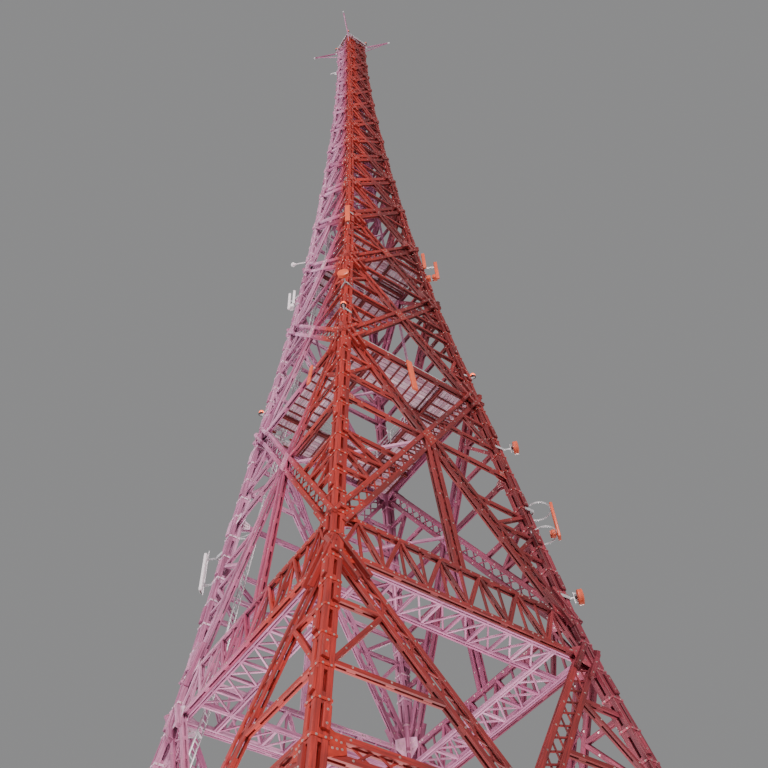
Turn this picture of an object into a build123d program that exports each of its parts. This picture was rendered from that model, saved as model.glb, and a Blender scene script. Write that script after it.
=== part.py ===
from build123d import *
import math
import os

os.makedirs("parts", exist_ok=True)

# Timber broadcasting mast, one tenth of full size, millimetres.
# +Z up, origin on the ground at the centre of the base, front face on -Y.

# Levels above the ground
mast_height = 10970        # top platform
ring_level = 2310          # underside of the ring girder
ring_depth = 230
first_level = 4040         # first platform
upper_level = 5080         # between the two bays over the first platform
second_level = 5530        # second platform, through the crossing of its bay
waist_level = 5860
third_level = 8000         # third platform
waist_bays = 4             # bays from the waist to the third platform
neck_bays = 7              # bays from there to the top
waist_shrink = 0.86        # height of a bay over the one below it
neck_shrink = 0.94

# Side of the mast over the legs
base_side = 2010
ring_side = 1236
ring_narrowing = 56        # over the depth of the ring girder
gallery_side = 892
upper_side = 695
waist_side = 580
neck_side = 357
top_side = 226
waist_hollow = 0.86        # below 1 the outline is hollow
neck_hollow = 0.5

# Legs, square
leg_base = 52
leg_gallery = 50
leg_waist = 44
leg_neck = 36
leg_top = 30

# Footings and shoes
footing_side = 200
footing_rise = 60
footing_chamfer = 12
shoe_side = 96
shoe_rise = 30

# Face bracing
face_base = 26             # thickness of the bracing, front to back
face_top = 16
chord_width = 22           # one timber of a built-up member
member_base = 86           # over both timbers
member_middle = 78
member_upper = 80
shaft_waist = 84           # close-set double timbers over the waist
shaft_top = 74
lacing_width = 9
lacing_pitch = 260
batten_width = 26         # ties across the double timbers of the upper bracing
post_share = 0.75          # width of the middle post over the diagonals
girder_panels = 6
girder_web = 15
seat = 40                  # length that is run into a leg before trimming
base_gusset = (60, 70)     # half height at the leg and reach from it
ring_gusset = (50, 60)
upper_gusset = (46, 56)
gusset_taper = 0.45        # height at the tip over the height at the leg
base_low_struts = (0.38, 0.7)      # heights between the footing and the crossing
base_high_struts = (0.36, 0.7)     # heights between the crossing and the ring
middle_struts = (0.34, 0.66)

# Platforms
deck_thickness = 14
walk_width = 210           # deck from the bracing to the open well
core_width = 24            # between the beams of a deck without a well
beam_depth = 24
beam_width = 16
hatch_side = 90
rail_height = 110
rail_size = 6
rail_clear = 6             # railings stand clear of the legs
top_overhang = 26          # top deck past the legs
top_rail_inset = 14

# Bracing in plan
truss_rise = 20
truss_width = 140
truss_brace = 12
truss_panels = 4
tie_width = 14
tie_depth = 14

# Ladder
ladder_width = 46
ladder_bar = 8
ladder_offset = 60         # from the leg to the middle of the ladder
ladder_start = 130
rung_pitch = 480
bracket_width = 8
bracket_drop = 60          # brackets below the levels
extra_brackets = (230, 1200, 3300)

# Fittings
boom_reach = 290
boom_size = 14
boom_drop = 24
boom_brace = 150
boom_brace_share = 0.85    # where the brace meets the boom
lamp_size = 30
lamp_sides = 6
lamp_reach = 26
lamp_rise = 230            # gallery lamps over the first platform
panel_width = 34
panel_depth = 14
box_size = 30
ball_size = 34
ball_reach = 130
fork_reach = 100
fork_drop = 28
drum_size = 70
drum_depth = 30
hoop_radius = 62
hanger_size = 12

# Antennas, placed from the nearest level and named after the leg or face that carries them
left_panel = (first_level - 930, 230, 90)           # level, length, reach
near_panel = (second_level + 190, 230, 50)
right_hooped = (first_level - 960, 220)             # level, length
right_yoke = (second_level + 80, 160, 60, 30)       # level, length, spread, step between the two
left_yoke = (second_level - 150, 200, 50, -20)
ball_level = waist_level + 140
fork_level = mast_height - 720
right_drums = ((first_level - 420, 90), (ring_level + ring_depth + 90, 70))   # level, reach
near_drum = (first_level + 580, 80)
far_drum = (first_level + 620, 80)
front_hung = (0.38, 170, 22)                        # share of the half face, length, width
right_hung = (-0.1, 280, panel_width)


# Outline of the mast
def narrowing(first, last, level, low, high, hollow):
    """Side of the mast between two levels, narrowing faster lower down."""
    run = (level - low) / (high - low)
    return last + (first - last) * (1 - run) ** (1 / hollow)


def stacked(low, high, count, shrink):
    """Levels of bays that get shorter upwards by the same ratio."""
    steps = [shrink ** i for i in range(count)]
    scale = (high - low) / sum(steps)
    marks = [low]
    for step in steps:
        marks.append(marks[-1] + step * scale)
    marks[-1] = high
    return marks


waist_levels = stacked(waist_level, third_level, waist_bays, waist_shrink)
neck_levels = stacked(third_level, mast_height, neck_bays, neck_shrink)

levels = [0, ring_level, ring_level + ring_depth, first_level, upper_level]
sides = [base_side, ring_side, ring_side - ring_narrowing, gallery_side, upper_side]
for z in waist_levels:
    levels.append(z)
    sides.append(narrowing(waist_side, neck_side, z, waist_level, third_level, waist_hollow))
for z in neck_levels[1:]:
    levels.append(z)
    sides.append(narrowing(neck_side, top_side, z, third_level, mast_height, neck_hollow))

leg_levels = [0, ring_level + ring_depth, first_level, waist_level, third_level, mast_height]
leg_sizes = [leg_base, leg_base, leg_gallery, leg_waist, leg_neck, leg_top]


def along(z, knots, values):
    """Straight-line value between knots."""
    z = min(max(z, knots[0]), knots[-1])
    for low, high, a, b in zip(knots, knots[1:], values, values[1:]):
        if z <= high:
            return a + (b - a) * (z - low) / (high - low)
    return values[-1]


leg_at = [along(z, leg_levels, leg_sizes) for z in levels]


def leg_width(z):
    """Leg size, straight between the bay levels so that its sides stay flat."""
    return along(z, levels, leg_at)


def axis(z):
    """Distance from the mast centre plane to the centre of a leg."""
    return along(z, levels, sides) / 2 - leg_width(z) / 2


def inner(z):
    """Half the clear width between two legs of a face."""
    return axis(z) - leg_width(z) / 2


def crossing(z0, z1):
    """Level at which the two diagonals of a bay cross."""
    a, b = inner(z0), inner(z1)
    return z0 + (z1 - z0) * a / (a + b)


def face_thickness(z):
    """Thickness of the face bracing, the same throughout a bay."""
    for low, high in zip(levels, levels[1:]):
        if z < high:
            break
    return along((low + high) / 2, [0, mast_height], [face_base, face_top])


# Solids from flat faces
def flat(points):
    return Face(Wire.make_polygon([Vector(*p) for p in points], close=True))


def stack(sections):
    """One solid through level sections that have the same number of corners."""
    faces = [flat(sections[0][::-1]), flat(sections[-1])]
    for low, high in zip(sections, sections[1:]):
        count = len(low)
        for i in range(count):
            j = (i + 1) % count
            faces.append(flat([low[i], low[j], high[j], high[i]]))
    return Solid(Shell(faces))


def square(x, y, z, side):
    s = side / 2
    return [(x - s, y - s, z), (x + s, y - s, z), (x + s, y + s, z), (x - s, y + s, z)]


def ring_of_points(x, y, z, radius, count):
    """Corners of a level polygon with many sides."""
    angles = [2 * math.pi * i / count for i in range(count)]
    return [(x + radius * math.cos(a), y + radius * math.sin(a), z) for a in angles]


def block(x, y, z0, z1, dx, dy):
    return Pos(x, y, (z0 + z1) / 2) * Box(dx, dy, z1 - z0)


def joined(solids):
    return solids[0].fuse(*solids[1:]).clean() if len(solids) > 1 else solids[0]


def trimmed(shape, limit):
    """The solid that a shape and a limit share."""
    return shape.intersect(limit).solids()[0]


def leg(z0, z1):
    """Front right leg between two levels."""
    marks = [z0] + [z for z in levels if z0 < z < z1] + [z1]
    return stack([square(axis(z), -axis(z), z, leg_width(z)) for z in marks])


# Bars in the plane of one face, as outlines in x and z
def direction(p, q):
    """Unit vector from p to q and the distance between them."""
    dx, dz = q[0] - p[0], q[1] - p[1]
    run = math.hypot(dx, dz)
    return dx / run, dz / run, run


def bar(p, q, width, run_on=0):
    """Flat bar from p to q, run on past both ends."""
    ux, uz, _ = direction(p, q)
    half = width / 2
    a = (p[0] - ux * run_on, p[1] - uz * run_on)
    b = (q[0] + ux * run_on, q[1] + uz * run_on)
    return [(x - s * uz * half, z + s * ux * half) for (x, z), s in ((a, 1), (b, 1), (b, -1), (a, -1))]


def zigzag(p, q, spread):
    """Lacing from p to q that touches two lines at the spread either side."""
    ux, uz, run = direction(p, q)
    count = max(2, round(run / lacing_pitch))
    marks = []
    for i in range(count + 1):
        side = spread if i % 2 == 0 else -spread
        step = run * i / count
        marks.append((p[0] + ux * step - uz * side, p[1] + uz * step + ux * side))
    return [bar(a, b, lacing_width) for a, b in zip(marks, marks[1:])]


def batten(p, q, spread):
    """Cross tie between two timbers, half way from p to q."""
    ux, uz, _ = direction(p, q)
    x, z = (p[0] + q[0]) / 2, (p[1] + q[1]) / 2
    return [bar((x - uz * spread, z + ux * spread), (x + uz * spread, z - ux * spread), batten_width)]


def laced(p, q, width, stretches, run_on=seat, web=zigzag):
    """Built-up member: two timbers side by side, with a web over the given stretches."""
    ux, uz, _ = direction(p, q)
    off = (width - chord_width) / 2
    bars = []
    for s in (off, -off):
        a = (p[0] - uz * s, p[1] + ux * s)
        b = (q[0] - uz * s, q[1] + ux * s)
        bars.append(bar(a, b, chord_width, run_on))
    for start, end in stretches:
        a = (p[0] + ux * start, p[1] + uz * start)
        b = (p[0] + ux * end, p[1] + uz * end)
        bars += web(a, b, width / 2 - chord_width)
    return bars


def mirrored(bars):
    return [[(-x, z) for x, z in b] for b in bars]


def crossed(z0, z1, width, start, web=zigzag):
    """Two built-up diagonals with a plate where they cross.

    Returns the bars and half the width of the plate.
    """
    level = crossing(z0, z1)
    p, q = (inner(z0), z0), (-inner(z1), z1)
    ux, uz, run = direction(p, q)
    middle = (level - z0) / uz
    half_width = width / 2 / abs(uz)
    half_height = width / 2 / abs(ux)
    clear = half_height * abs(uz)
    stretches = [(start, middle - clear), (middle + clear, run - start)]
    diagonal = laced(p, q, width, stretches, web=web)
    plate = [(half_width, level), (0, level + half_height), (-half_width, level), (0, level - half_height)]
    return diagonal + mirrored(diagonal) + [plate], half_width


def outer_chord(z0, z1, width, z):
    """Place on the outer timber of a built-up diagonal at a level of its bay."""
    level = crossing(z0, z1)
    slope = (inner(z0) + inner(z1)) / (z1 - z0)
    shift = (width - chord_width) / 2 * math.hypot(1, slope)
    return slope * abs(level - z) + shift


def strut(z0, z1, width, z):
    """Bar from a diagonal to the leg, and its mirror image."""
    one = [bar((outer_chord(z0, z1, width, z), z), (inner(z) + seat / 2, z), chord_width)]
    return one + mirrored(one)


def gussets(z, size):
    """Plates at both legs where the members of a bay meet."""
    height, reach = size
    x = inner(z)
    tip = height * gusset_taper
    plate = [(x + seat, z - height), (x + seat, z + height), (x - reach, z + tip), (x - reach, z - tip)]
    return [plate] + mirrored([plate])


def across(z, width=chord_width):
    """Level bar from leg to leg."""
    return bar((-inner(z), z), (inner(z), z), width, seat)


def lean(z0, z1):
    """Plane of the front face over one bay, with its length up the slope."""
    rise = z1 - z0
    fall = axis(z0) - axis(z1)
    slant = math.hypot(rise, fall)
    outward = (0, -rise / slant, fall / slant)
    return Plane(origin=(0, -axis(z0), z0), x_dir=(1, 0, 0), z_dir=outward), slant


def panel(z0, z1, bars):
    """Bars of one bay, fused where they cross and trimmed to the bay."""
    depth = face_thickness((z0 + z1) / 2)
    plane, slant = lean(z0, z1)

    def local(points):
        return flat([(x, (z - z0) / (z1 - z0) * slant, 0) for x, z in points])

    pieces = [local(b) for b in bars]
    shape = pieces[0].fuse(*pieces[1:]).clean()
    window = local([(-inner(z0), z0), (inner(z0), z0), (inner(z1), z1), (-inner(z1), z1)])
    shape = shape.intersect(window)
    faces = shape.faces() if not isinstance(shape, list) else [f for s in shape for f in s.faces()]
    solids = []
    for face in faces:
        placed = plane.from_local_coords(face)
        solids.append(Solid.extrude(placed, Vector(0, depth, 0)).moved(Pos(0, -depth / 2, 0)))
    return solids


# Bays of one face
def base_bay():
    """Great laced cross from the shoes to the ring, its girder and its struts."""
    z0, z1 = footing_rise + shoe_rise, ring_level
    level = crossing(z0, z1)
    half = inner(level)
    bars, plate = crossed(z0, z1, member_base, base_gusset[1])
    bars += laced((-half, level), (half, level), member_base, [(0, half - plate), (half + plate, 2 * half)])
    for share in base_low_struts:
        bars += strut(z0, z1, member_base, z0 + (level - z0) * share)
    low, high = [level + (z1 - level) * share for share in base_high_struts]
    bars += strut(z0, z1, member_base, low) + strut(z0, z1, member_base, high)
    tie = [bar((inner(low), low), (outer_chord(z0, z1, member_base, high), high), chord_width)]
    bars += tie + mirrored(tie) + gussets(z1, base_gusset)
    return panel(z0, z1, bars)


def ring_bay():
    """Girder of two chords with a zigzag web."""
    z0, z1 = ring_level, ring_level + ring_depth
    low, high = z0 + chord_width / 2, z1 - chord_width / 2
    bars = [across(low), across(high), bar((0, z0), (0, z1), chord_width)]
    marks = [-inner(z0) + 2 * inner(z0) * i / girder_panels for i in range(girder_panels + 1)]
    for i, (a, b) in enumerate(zip(marks, marks[1:])):
        ends = (low, high) if i % 2 == 0 else (high, low)
        bars.append(bar((a, ends[0]), (b, ends[1]), girder_web))
    bars += gussets(z0, base_gusset) + gussets(z1, ring_gusset)
    return panel(z0, z1, bars)


def middle_bay():
    """Laced cross up to the first platform, with a laced post under its middle."""
    z0, z1 = ring_level + ring_depth, first_level
    level = crossing(z0, z1)
    bars, _ = crossed(z0, z1, member_middle, ring_gusset[1])
    post = member_middle * post_share
    bars += laced((0, z0), (0, level), post, [(0, level - z0 - member_middle)], run_on=0)
    bars += [across(level), across(z1 - chord_width / 2)]
    low, high = [z0 + (level - z0) * share for share in middle_struts]
    bars += strut(z0, z1, member_middle, low) + strut(z0, z1, member_middle, high)
    tie = [bar((inner(high), high), (outer_chord(z0, z1, member_middle, low), low), chord_width)]
    bars += tie + mirrored(tie) + gussets(z0, ring_gusset) + gussets(z1, upper_gusset)
    return panel(z0, z1, bars)


def battened_bay(z0, z1):
    """Cross of double timbers tied together half way to the crossing."""
    bars, _ = crossed(z0, z1, member_upper, upper_gusset[1], web=batten)
    bars.append(across(crossing(z0, z1)))
    bars += gussets(z0, upper_gusset) + gussets(z1, upper_gusset)
    return panel(z0, z1, bars)


def shaft_bay(z0, z1):
    """Cross of broad close-set timbers, with a level bar through it up to the third platform."""
    width = along((z0 + z1) / 2, [waist_level, mast_height], [shaft_waist, shaft_top])
    diagonal = [bar((inner(z0), z0), (-inner(z1), z1), width, seat)]
    bars = diagonal + mirrored(diagonal)
    if z1 <= third_level:
        bars.append(across(crossing(z0, z1)))
    if z1 == third_level:
        bars.append(across(z1 - chord_width / 2))
    return panel(z0, z1, bars)


stages = {
    "base": base_bay(),
    "middle": ring_bay() + middle_bay(),
    "upper": battened_bay(first_level, upper_level) + battened_bay(upper_level, waist_level),
    "neck": [s for a, b in zip(waist_levels, waist_levels[1:]) for s in shaft_bay(a, b)],
    "top": [s for a, b in zip(neck_levels, neck_levels[1:]) for s in shaft_bay(a, b)],
}
turns = {"front": 0, "right": 90, "back": 180, "left": 270}
corners = {"front right": 0, "back right": 90, "back left": 180, "front left": 270}

nodes = {}
for stage, solids in stages.items():
    shape = joined(solids)
    for side, angle in turns.items():
        nodes[f"{side} {stage} braces"] = Rot(0, 0, angle) * shape

lower_leg = leg(footing_rise + shoe_rise, waist_level)
upper_leg = leg(waist_level, mast_height)
for corner, angle in corners.items():
    nodes[f"{corner} lower leg"] = Rot(0, 0, angle) * lower_leg
    nodes[f"{corner} upper leg"] = Rot(0, 0, angle) * upper_leg


# Footings and shoes
def footing():
    x = axis(footing_rise)
    shape = block(x, -x, 0, footing_rise, footing_side, footing_side)
    return chamfer(shape.faces().sort_by(Axis.Z)[-1].edges(), footing_chamfer)


def shoe():
    x = axis(footing_rise)
    return block(x, -x, footing_rise, footing_rise + shoe_rise, shoe_side, shoe_side)


nodes["footings"] = Compound([Rot(0, 0, angle) * footing() for angle in corners.values()])
nodes["leg shoes"] = Compound([Rot(0, 0, angle) * shoe() for angle in corners.values()])


# Platforms
def lattice_inside(z, bay):
    """Half the clear width inside the bracing of the four faces of the bay at a level."""
    return axis(z) - face_thickness(bay) / 2


def ladder_centre(z):
    """Ladder position on the diagonal of the plan, inside the front left leg."""
    return axis(z) - leg_width(z) / 2 - ladder_offset


def leg_near(angle, z, reach=260):
    """The leg of a corner round a level, for cutting a seat on it."""
    return Rot(0, 0, angle) * leg(max(z - reach, 0), min(z + reach, mast_height))


def plate(z0, z1):
    """Square plate whose edges lean with the bracing it bears on."""
    bay = (z0 + z1) / 2
    return stack([square(0, 0, z, 2 * lattice_inside(z, bay)) for z in (z0, z1)])


def hatch(z):
    place = ladder_centre(z)
    return block(-place, -place, z - 1, z + deck_thickness + 1, hatch_side, hatch_side)


def well_side(z):
    """Side of the open well inside a platform."""
    return 2 * (lattice_inside(z, z + deck_thickness / 2) - walk_width)


def deck(z, well):
    """Deck bearing on the bracing, cut round the legs, with a ladder hatch and maybe an open well."""
    shape = plate(z, z + deck_thickness) - hatch(z)
    for angle in corners.values():
        shape -= leg_near(angle, z)
    if well:
        shape -= block(0, 0, z - 1, z + deck_thickness + 1, well, well)
    return shape


def beams(z, well):
    """Beams under the edges of the well, or near the middle, from face to face."""
    middle = max(well, core_width) / 2 + beam_width / 2
    reach = 2 * axis(z)
    bars = [block(0, s * middle, z - beam_depth, z, reach, beam_width) for s in (1, -1)]
    bars += [block(s * middle, 0, z - beam_depth, z, beam_width, reach) for s in (1, -1)]
    return trimmed(joined(bars), plate(z - beam_depth, z))


def rail_ring(half, z):
    ring = block(0, 0, z, z + rail_size, 2 * half, 2 * half)
    hole = 2 * (half - rail_size)
    return ring - block(0, 0, z - 1, z + rail_size + 1, hole, hole)


def railing(floor, half, posts):
    """Rail round a deck or a well on posts at the corners or half way."""
    shape = rail_ring(half, floor + rail_height - rail_size)
    centre = half - rail_size / 2
    for x, y in posts:
        for angle in turns.values():
            post = block(x * centre, y * centre, floor, floor + rail_height, rail_size, rail_size)
            shape += Rot(0, 0, angle) * post
    return shape


platforms = {
    "first": (first_level, well_side(first_level)),
    "second": (second_level, well_side(second_level)),
    "third": (third_level, 0),
}
platform_beams = []
for name, (z, well) in platforms.items():
    nodes[f"{name} platform deck"] = deck(z, well)
    platform_beams.append(beams(z, well))
    floor = z + deck_thickness
    top = floor + rail_height
    rails = [railing(floor, inner(top) - rail_clear, ((1, 1), (1, 0)))]
    if well:
        rails.append(railing(floor, well / 2 + 2 * rail_size, ((1, 1),)))
    nodes[f"{name} platform railing"] = Compound(rails)
nodes["platform beams"] = Compound(platform_beams)

top_half = top_side / 2 + top_overhang
top_floor = mast_height + deck_thickness
top_deck = block(0, 0, mast_height, top_floor, 2 * top_half, 2 * top_half)
nodes["top platform deck"] = top_deck - hatch(mast_height)
nodes["top platform railing"] = railing(top_floor, top_half - top_rail_inset, ((1, 1), (1, 0)))


# Flat truss inside the ring girder
def level_bar(a, b, z0, z1, width, run_on=0):
    """Bar on the flat between two places in plan, run on past both ends."""
    run = math.hypot(b[0] - a[0], b[1] - a[1]) + 2 * run_on
    turn = math.degrees(math.atan2(b[1] - a[1], b[0] - a[0]))
    middle = Pos((a[0] + b[0]) / 2, (a[1] + b[1]) / 2, (z0 + z1) / 2)
    return middle * Rot(0, 0, turn) * Box(run, width, z1 - z0)


def ring_truss():
    """Two square chords joined by zigzag braces on all four sides."""
    z0, z1 = ring_level, ring_level + truss_rise
    window = lattice_inside(z1, z1) - chord_width
    shape = plate(z0, z1) - block(0, 0, z0 - 1, z1 + 1, 2 * window, 2 * window)
    middle = window - truss_width
    step = 2 * middle / truss_panels
    bars = []
    for angle in turns.values():
        turned = Rot(0, 0, angle)
        centre = -middle + chord_width / 2
        bars.append(turned * block(0, centre, z0, z1, 2 * window + chord_width, chord_width))
        for i in range(truss_panels):
            ends = (-window, -middle) if i % 2 == 0 else (-middle, -window)
            start = (-middle + i * step, ends[0])
            end = (-middle + (i + 1) * step, ends[1])
            bars.append(turned * level_bar(start, end, z0, z1, truss_brace))
    shape = shape.fuse(*bars).clean()
    for angle in corners.values():
        shape -= leg_near(angle, z0)
    return shape


nodes["ring truss"] = ring_truss()


# Ties in plan, from the middle of each face to the next at the crossings
def plan_ties(level):
    z0, z1 = level - tie_depth / 2, level + tie_depth / 2
    half = lattice_inside(level, level)
    mids = [(half, 0), (0, half), (-half, 0), (0, -half)]
    bars = [level_bar(a, b, z0, z1, tie_width, tie_width) for a, b in zip(mids, mids[1:] + mids[:1])]
    return trimmed(joined(bars), plate(z0, z1))


tie_bays = [(ring_level + ring_depth, first_level), (first_level, upper_level)]
tie_bays += list(zip(waist_levels, waist_levels[1:]))[:-1]
nodes["plan ties"] = Compound([plan_ties(crossing(a, b)) for a, b in tie_bays])


# Ladder
def ladder():
    """Two rails with rungs, held to the front left leg by brackets."""
    half = ladder_width / 2 / math.sqrt(2)
    top = mast_height + rail_height
    marks = [ladder_start, ring_level, first_level, waist_level, third_level, top]
    places = [ladder_centre(min(z, mast_height)) for z in marks]

    def place(z):
        return along(z, marks, places)

    rails = [
        stack([square(-place(z) + s * half, -place(z) - s * half, z, ladder_bar) for z in marks])
        for s in (1, -1)
    ]
    bars = []
    z = ladder_start + rung_pitch / 2
    while z < top:
        stand = Pos(-place(z), -place(z), z)
        bars.append(stand * Rot(0, 0, -45) * Box(ladder_width, ladder_bar / 2, ladder_bar / 2))
        z += rung_pitch
    held = [ring_level, first_level, upper_level, waist_level, waist_levels[2], third_level]
    held += [neck_levels[2], neck_levels[4], mast_height]
    for z in [level - bracket_drop for level in held] + list(extra_brackets):
        reach = (axis(z) - place(z)) * math.sqrt(2)
        stand = Pos(-place(z), -place(z), z)
        arm = stand * Rot(0, 0, 225) * Pos(reach / 2, 0, 0) * Box(reach, bracket_width, ladder_bar)
        bars.append(arm - leg_near(corners["front left"], z))
        bars.append(stand * Rot(0, 0, -45) * Box(ladder_width, ladder_bar, ladder_bar))
    return rails[0].fuse(rails[1], *bars).clean()


nodes["ladder"] = ladder()


# Outriggers, drawn with X outward from the corner of the plan
def outrigger(corner, z, parts):
    """Joins the parts and seats them on a leg."""
    angle = corners[corner]
    base = Rot(0, 0, angle) * Pos(axis(z), -axis(z), z) * Rot(0, 0, -45)
    return base * joined(parts) - leg_near(angle, z)


def arm(reach, z=0):
    return Pos(reach / 2, 0, z) * Box(reach, ladder_bar, ladder_bar)


def boom():
    """Boom with a brace under it."""
    root = leg_top / math.sqrt(2)
    length = root + boom_reach
    foot = (root / 2, -boom_drop - boom_brace)
    head = (root + boom_reach * boom_brace_share, -boom_drop)
    run = math.hypot(head[0] - foot[0], head[1] - foot[1])
    tilt = math.degrees(math.atan2(head[1] - foot[1], head[0] - foot[0]))
    brace = Pos((foot[0] + head[0]) / 2, 0, (foot[1] + head[1]) / 2) * Rot(0, -tilt, 0)
    return [
        Pos(length / 2, 0, -boom_drop) * Box(length, boom_size, boom_size),
        brace * Box(run, boom_size / 2, boom_size / 2),
    ]


def lamp(x, z):
    """Lamp with its glass over a wider base, base underneath at the given height."""
    foot, shoulder, top = z, z + lamp_size * 0.3, z + lamp_size
    base = stack([ring_of_points(x, 0, h, lamp_size * 0.55, lamp_sides) for h in (foot, shoulder)])
    glass = [(shoulder, 0.42), (z + lamp_size * 0.8, 0.42), (top, 0.24)]
    return base + stack([ring_of_points(x, 0, h, lamp_size * share, lamp_sides) for h, share in glass])


def gallery_lamp():
    reach = leg_gallery * 0.7 + lamp_reach
    bracket = Pos(reach / 2, 0, -ladder_bar / 2) * Box(reach, bracket_width, ladder_bar)
    return [bracket, lamp(reach - lamp_size * 0.3, 0)]


def panel_antenna(length, reach):
    """Upright panel on a pole held by two arms."""
    cover = Pos(reach + panel_depth / 2, 0, 0) * Box(panel_depth, panel_width, length)
    pole = Pos(reach - ladder_bar / 2, 0, 0) * Box(ladder_bar, ladder_bar, length * 1.2)
    return [cover, pole] + [arm(reach, s * length * 0.35) for s in (1, -1)]


def hooped_antenna(length):
    """Upright panel outside two hoops that stand out from the leg."""
    hoop = extrude(RegularPolygon(hoop_radius, 8) - RegularPolygon(hoop_radius - ladder_bar, 8), ladder_bar)
    inside = hoop_radius * math.cos(math.pi / 8)
    turned = Pos(hoop_radius, 0, 0) * Rot(0, 0, 180 / 8)
    hoops = [Pos(0, 0, s * length * 0.35) * turned * hoop for s in (1, -1)]
    face = hoop_radius + inside
    cover = Pos(face + panel_depth / 2, 0, 0) * Box(panel_depth, panel_width, length)
    unit = Pos(face - box_size / 2, 0, -length * 0.35) * Box(box_size, box_size, box_size)
    return [cover, unit] + hoops


def yoke_antennas(length, spread, step):
    """Two upright panels at the ends of a cross bar, one higher than the other."""
    reach = leg_waist + box_size
    bar_across = Pos(reach, 0, 0) * Box(ladder_bar, 2 * spread + panel_width, ladder_bar)
    unit = Pos(reach - box_size / 2, 0, 0) * Box(box_size, box_size, box_size)
    cover = Pos(reach + panel_depth / 2, 0, length / 4) * Box(panel_depth, panel_width, length)
    return [arm(reach), bar_across, unit] + [Pos(0, s * spread, s * step) * cover for s in (1, -1)]


def ball_antenna():
    """Ball at the end of a rod."""
    tilts = [math.radians(a) for a in (-67.5, -22.5, 22.5, 67.5)]
    radius = ball_size / 2
    rings = [ring_of_points(ball_reach, 0, radius * math.sin(t), radius * math.cos(t), 8) for t in tilts]
    return [arm(ball_reach), stack(rings)]


def fork_antenna():
    """Rod with its end turned down, over a shorter one."""
    tip = Pos(fork_reach - ladder_bar / 2, 0, -fork_drop / 2) * Box(ladder_bar, ladder_bar, fork_drop)
    link = Pos(fork_reach / 2, 0, -fork_drop) * Box(ladder_bar, ladder_bar, 2 * fork_drop)
    return [arm(fork_reach), tip, link, arm(fork_reach / 2, -2 * fork_drop)]


def drum(reach):
    """Shallow round dish on an arm, facing outward."""
    disc = extrude(RegularPolygon(drum_size / 2, 12), drum_depth)
    return [arm(reach), Pos(reach, 0, 0) * Rot(0, 90, 0) * disc]


nodes["top booms"] = Compound([outrigger(c, mast_height, boom()) for c in corners])
lamp_level = first_level + lamp_rise
nodes["gallery lamps"] = Compound([outrigger(c, lamp_level, gallery_lamp()) for c in corners])
post_at = top_half - top_rail_inset - rail_size / 2
corner_lamp = Pos(post_at, -post_at, 0) * lamp(0, top_floor + rail_height)
nodes["top lamps"] = Compound([Rot(0, 0, a) * corner_lamp for a in corners.values()])

antennas = [
    ("front left", left_panel[0], panel_antenna(*left_panel[1:])),
    ("back right", right_hooped[0], hooped_antenna(*right_hooped[1:])),
    ("back right", right_yoke[0], yoke_antennas(*right_yoke[1:])),
    ("front right", near_panel[0], panel_antenna(*near_panel[1:])),
    ("front left", left_yoke[0], yoke_antennas(*left_yoke[1:])),
]
nodes["panel antennas"] = Compound([outrigger(corner, z, parts) for corner, z, parts in antennas])
rods = [("front left", ball_level, ball_antenna()), ("front left", fork_level, fork_antenna())]
nodes["rod antennas"] = Compound([outrigger(corner, z, parts) for corner, z, parts in rods])
drums = [("back right", *site) for site in right_drums]
drums += [("front right", *near_drum), ("back left", *far_drum)]
nodes["drum antennas"] = Compound([outrigger(corner, z, drum(reach)) for corner, z, reach in drums])


# Panels hung on the outside of the faces, under the edge of the first platform
def hung_panel(angle, share, length, width):
    z0, z1 = ring_level + ring_depth, first_level
    plane, slant = lean(z0, z1)
    skin = face_thickness((z0 + z1) / 2) / 2 * (z1 - z0) / slant
    x = inner(z1) * share
    top = slant - chord_width / 2 + hanger_size / 2
    half = hanger_size / 2
    hanger = Pos(x, top - half, skin + half) * Box(hanger_size, hanger_size, hanger_size)
    cover = Pos(x, top - length / 2, skin + hanger_size + panel_depth / 2) * Box(width, length, panel_depth)
    return Rot(0, 0, angle) * (plane.location * (hanger + cover))


hung = [("front", *front_hung), ("right", *right_hung)]
nodes["hung panels"] = Compound([hung_panel(turns[side], *sizes) for side, *sizes in hung])

for name, shape in nodes.items():
    solid = shape if isinstance(shape, Compound) else Compound([shape])
    export_step(solid, f"parts/{name.replace(' ', '_')}.step")
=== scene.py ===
"""Visual model of a timber broadcasting mast, one tenth of full size, in metres."""
import logging
import math
import random
from dataclasses import dataclass, field
from enum import Enum
from typing import Iterable, Sequence

import bpy
import numpy as np
from mathutils import Matrix, Quaternion, Vector


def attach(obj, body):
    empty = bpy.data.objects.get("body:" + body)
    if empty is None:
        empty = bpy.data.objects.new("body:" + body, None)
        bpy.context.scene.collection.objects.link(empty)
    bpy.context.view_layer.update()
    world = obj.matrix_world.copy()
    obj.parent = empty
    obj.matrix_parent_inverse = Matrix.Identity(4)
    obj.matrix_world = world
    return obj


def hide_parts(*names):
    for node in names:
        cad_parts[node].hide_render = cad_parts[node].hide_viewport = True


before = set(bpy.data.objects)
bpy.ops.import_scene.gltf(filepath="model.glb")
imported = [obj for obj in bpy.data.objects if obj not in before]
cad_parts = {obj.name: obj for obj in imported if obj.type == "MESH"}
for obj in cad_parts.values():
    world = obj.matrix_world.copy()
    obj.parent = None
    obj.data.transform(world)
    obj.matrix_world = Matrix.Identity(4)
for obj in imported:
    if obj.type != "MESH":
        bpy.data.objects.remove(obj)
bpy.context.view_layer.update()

LOG = logging.getLogger("mast")
EAST, NORTH, UP = Vector((1, 0, 0)), Vector((0, 1, 0)), Vector((0, 0, 1))
Point = tuple[float, float]
Place = tuple[float, float, float]
Colour = tuple[float, float, float]
Socket = bpy.types.NodeSocket
Material = bpy.types.Material
Object = bpy.types.Object


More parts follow.
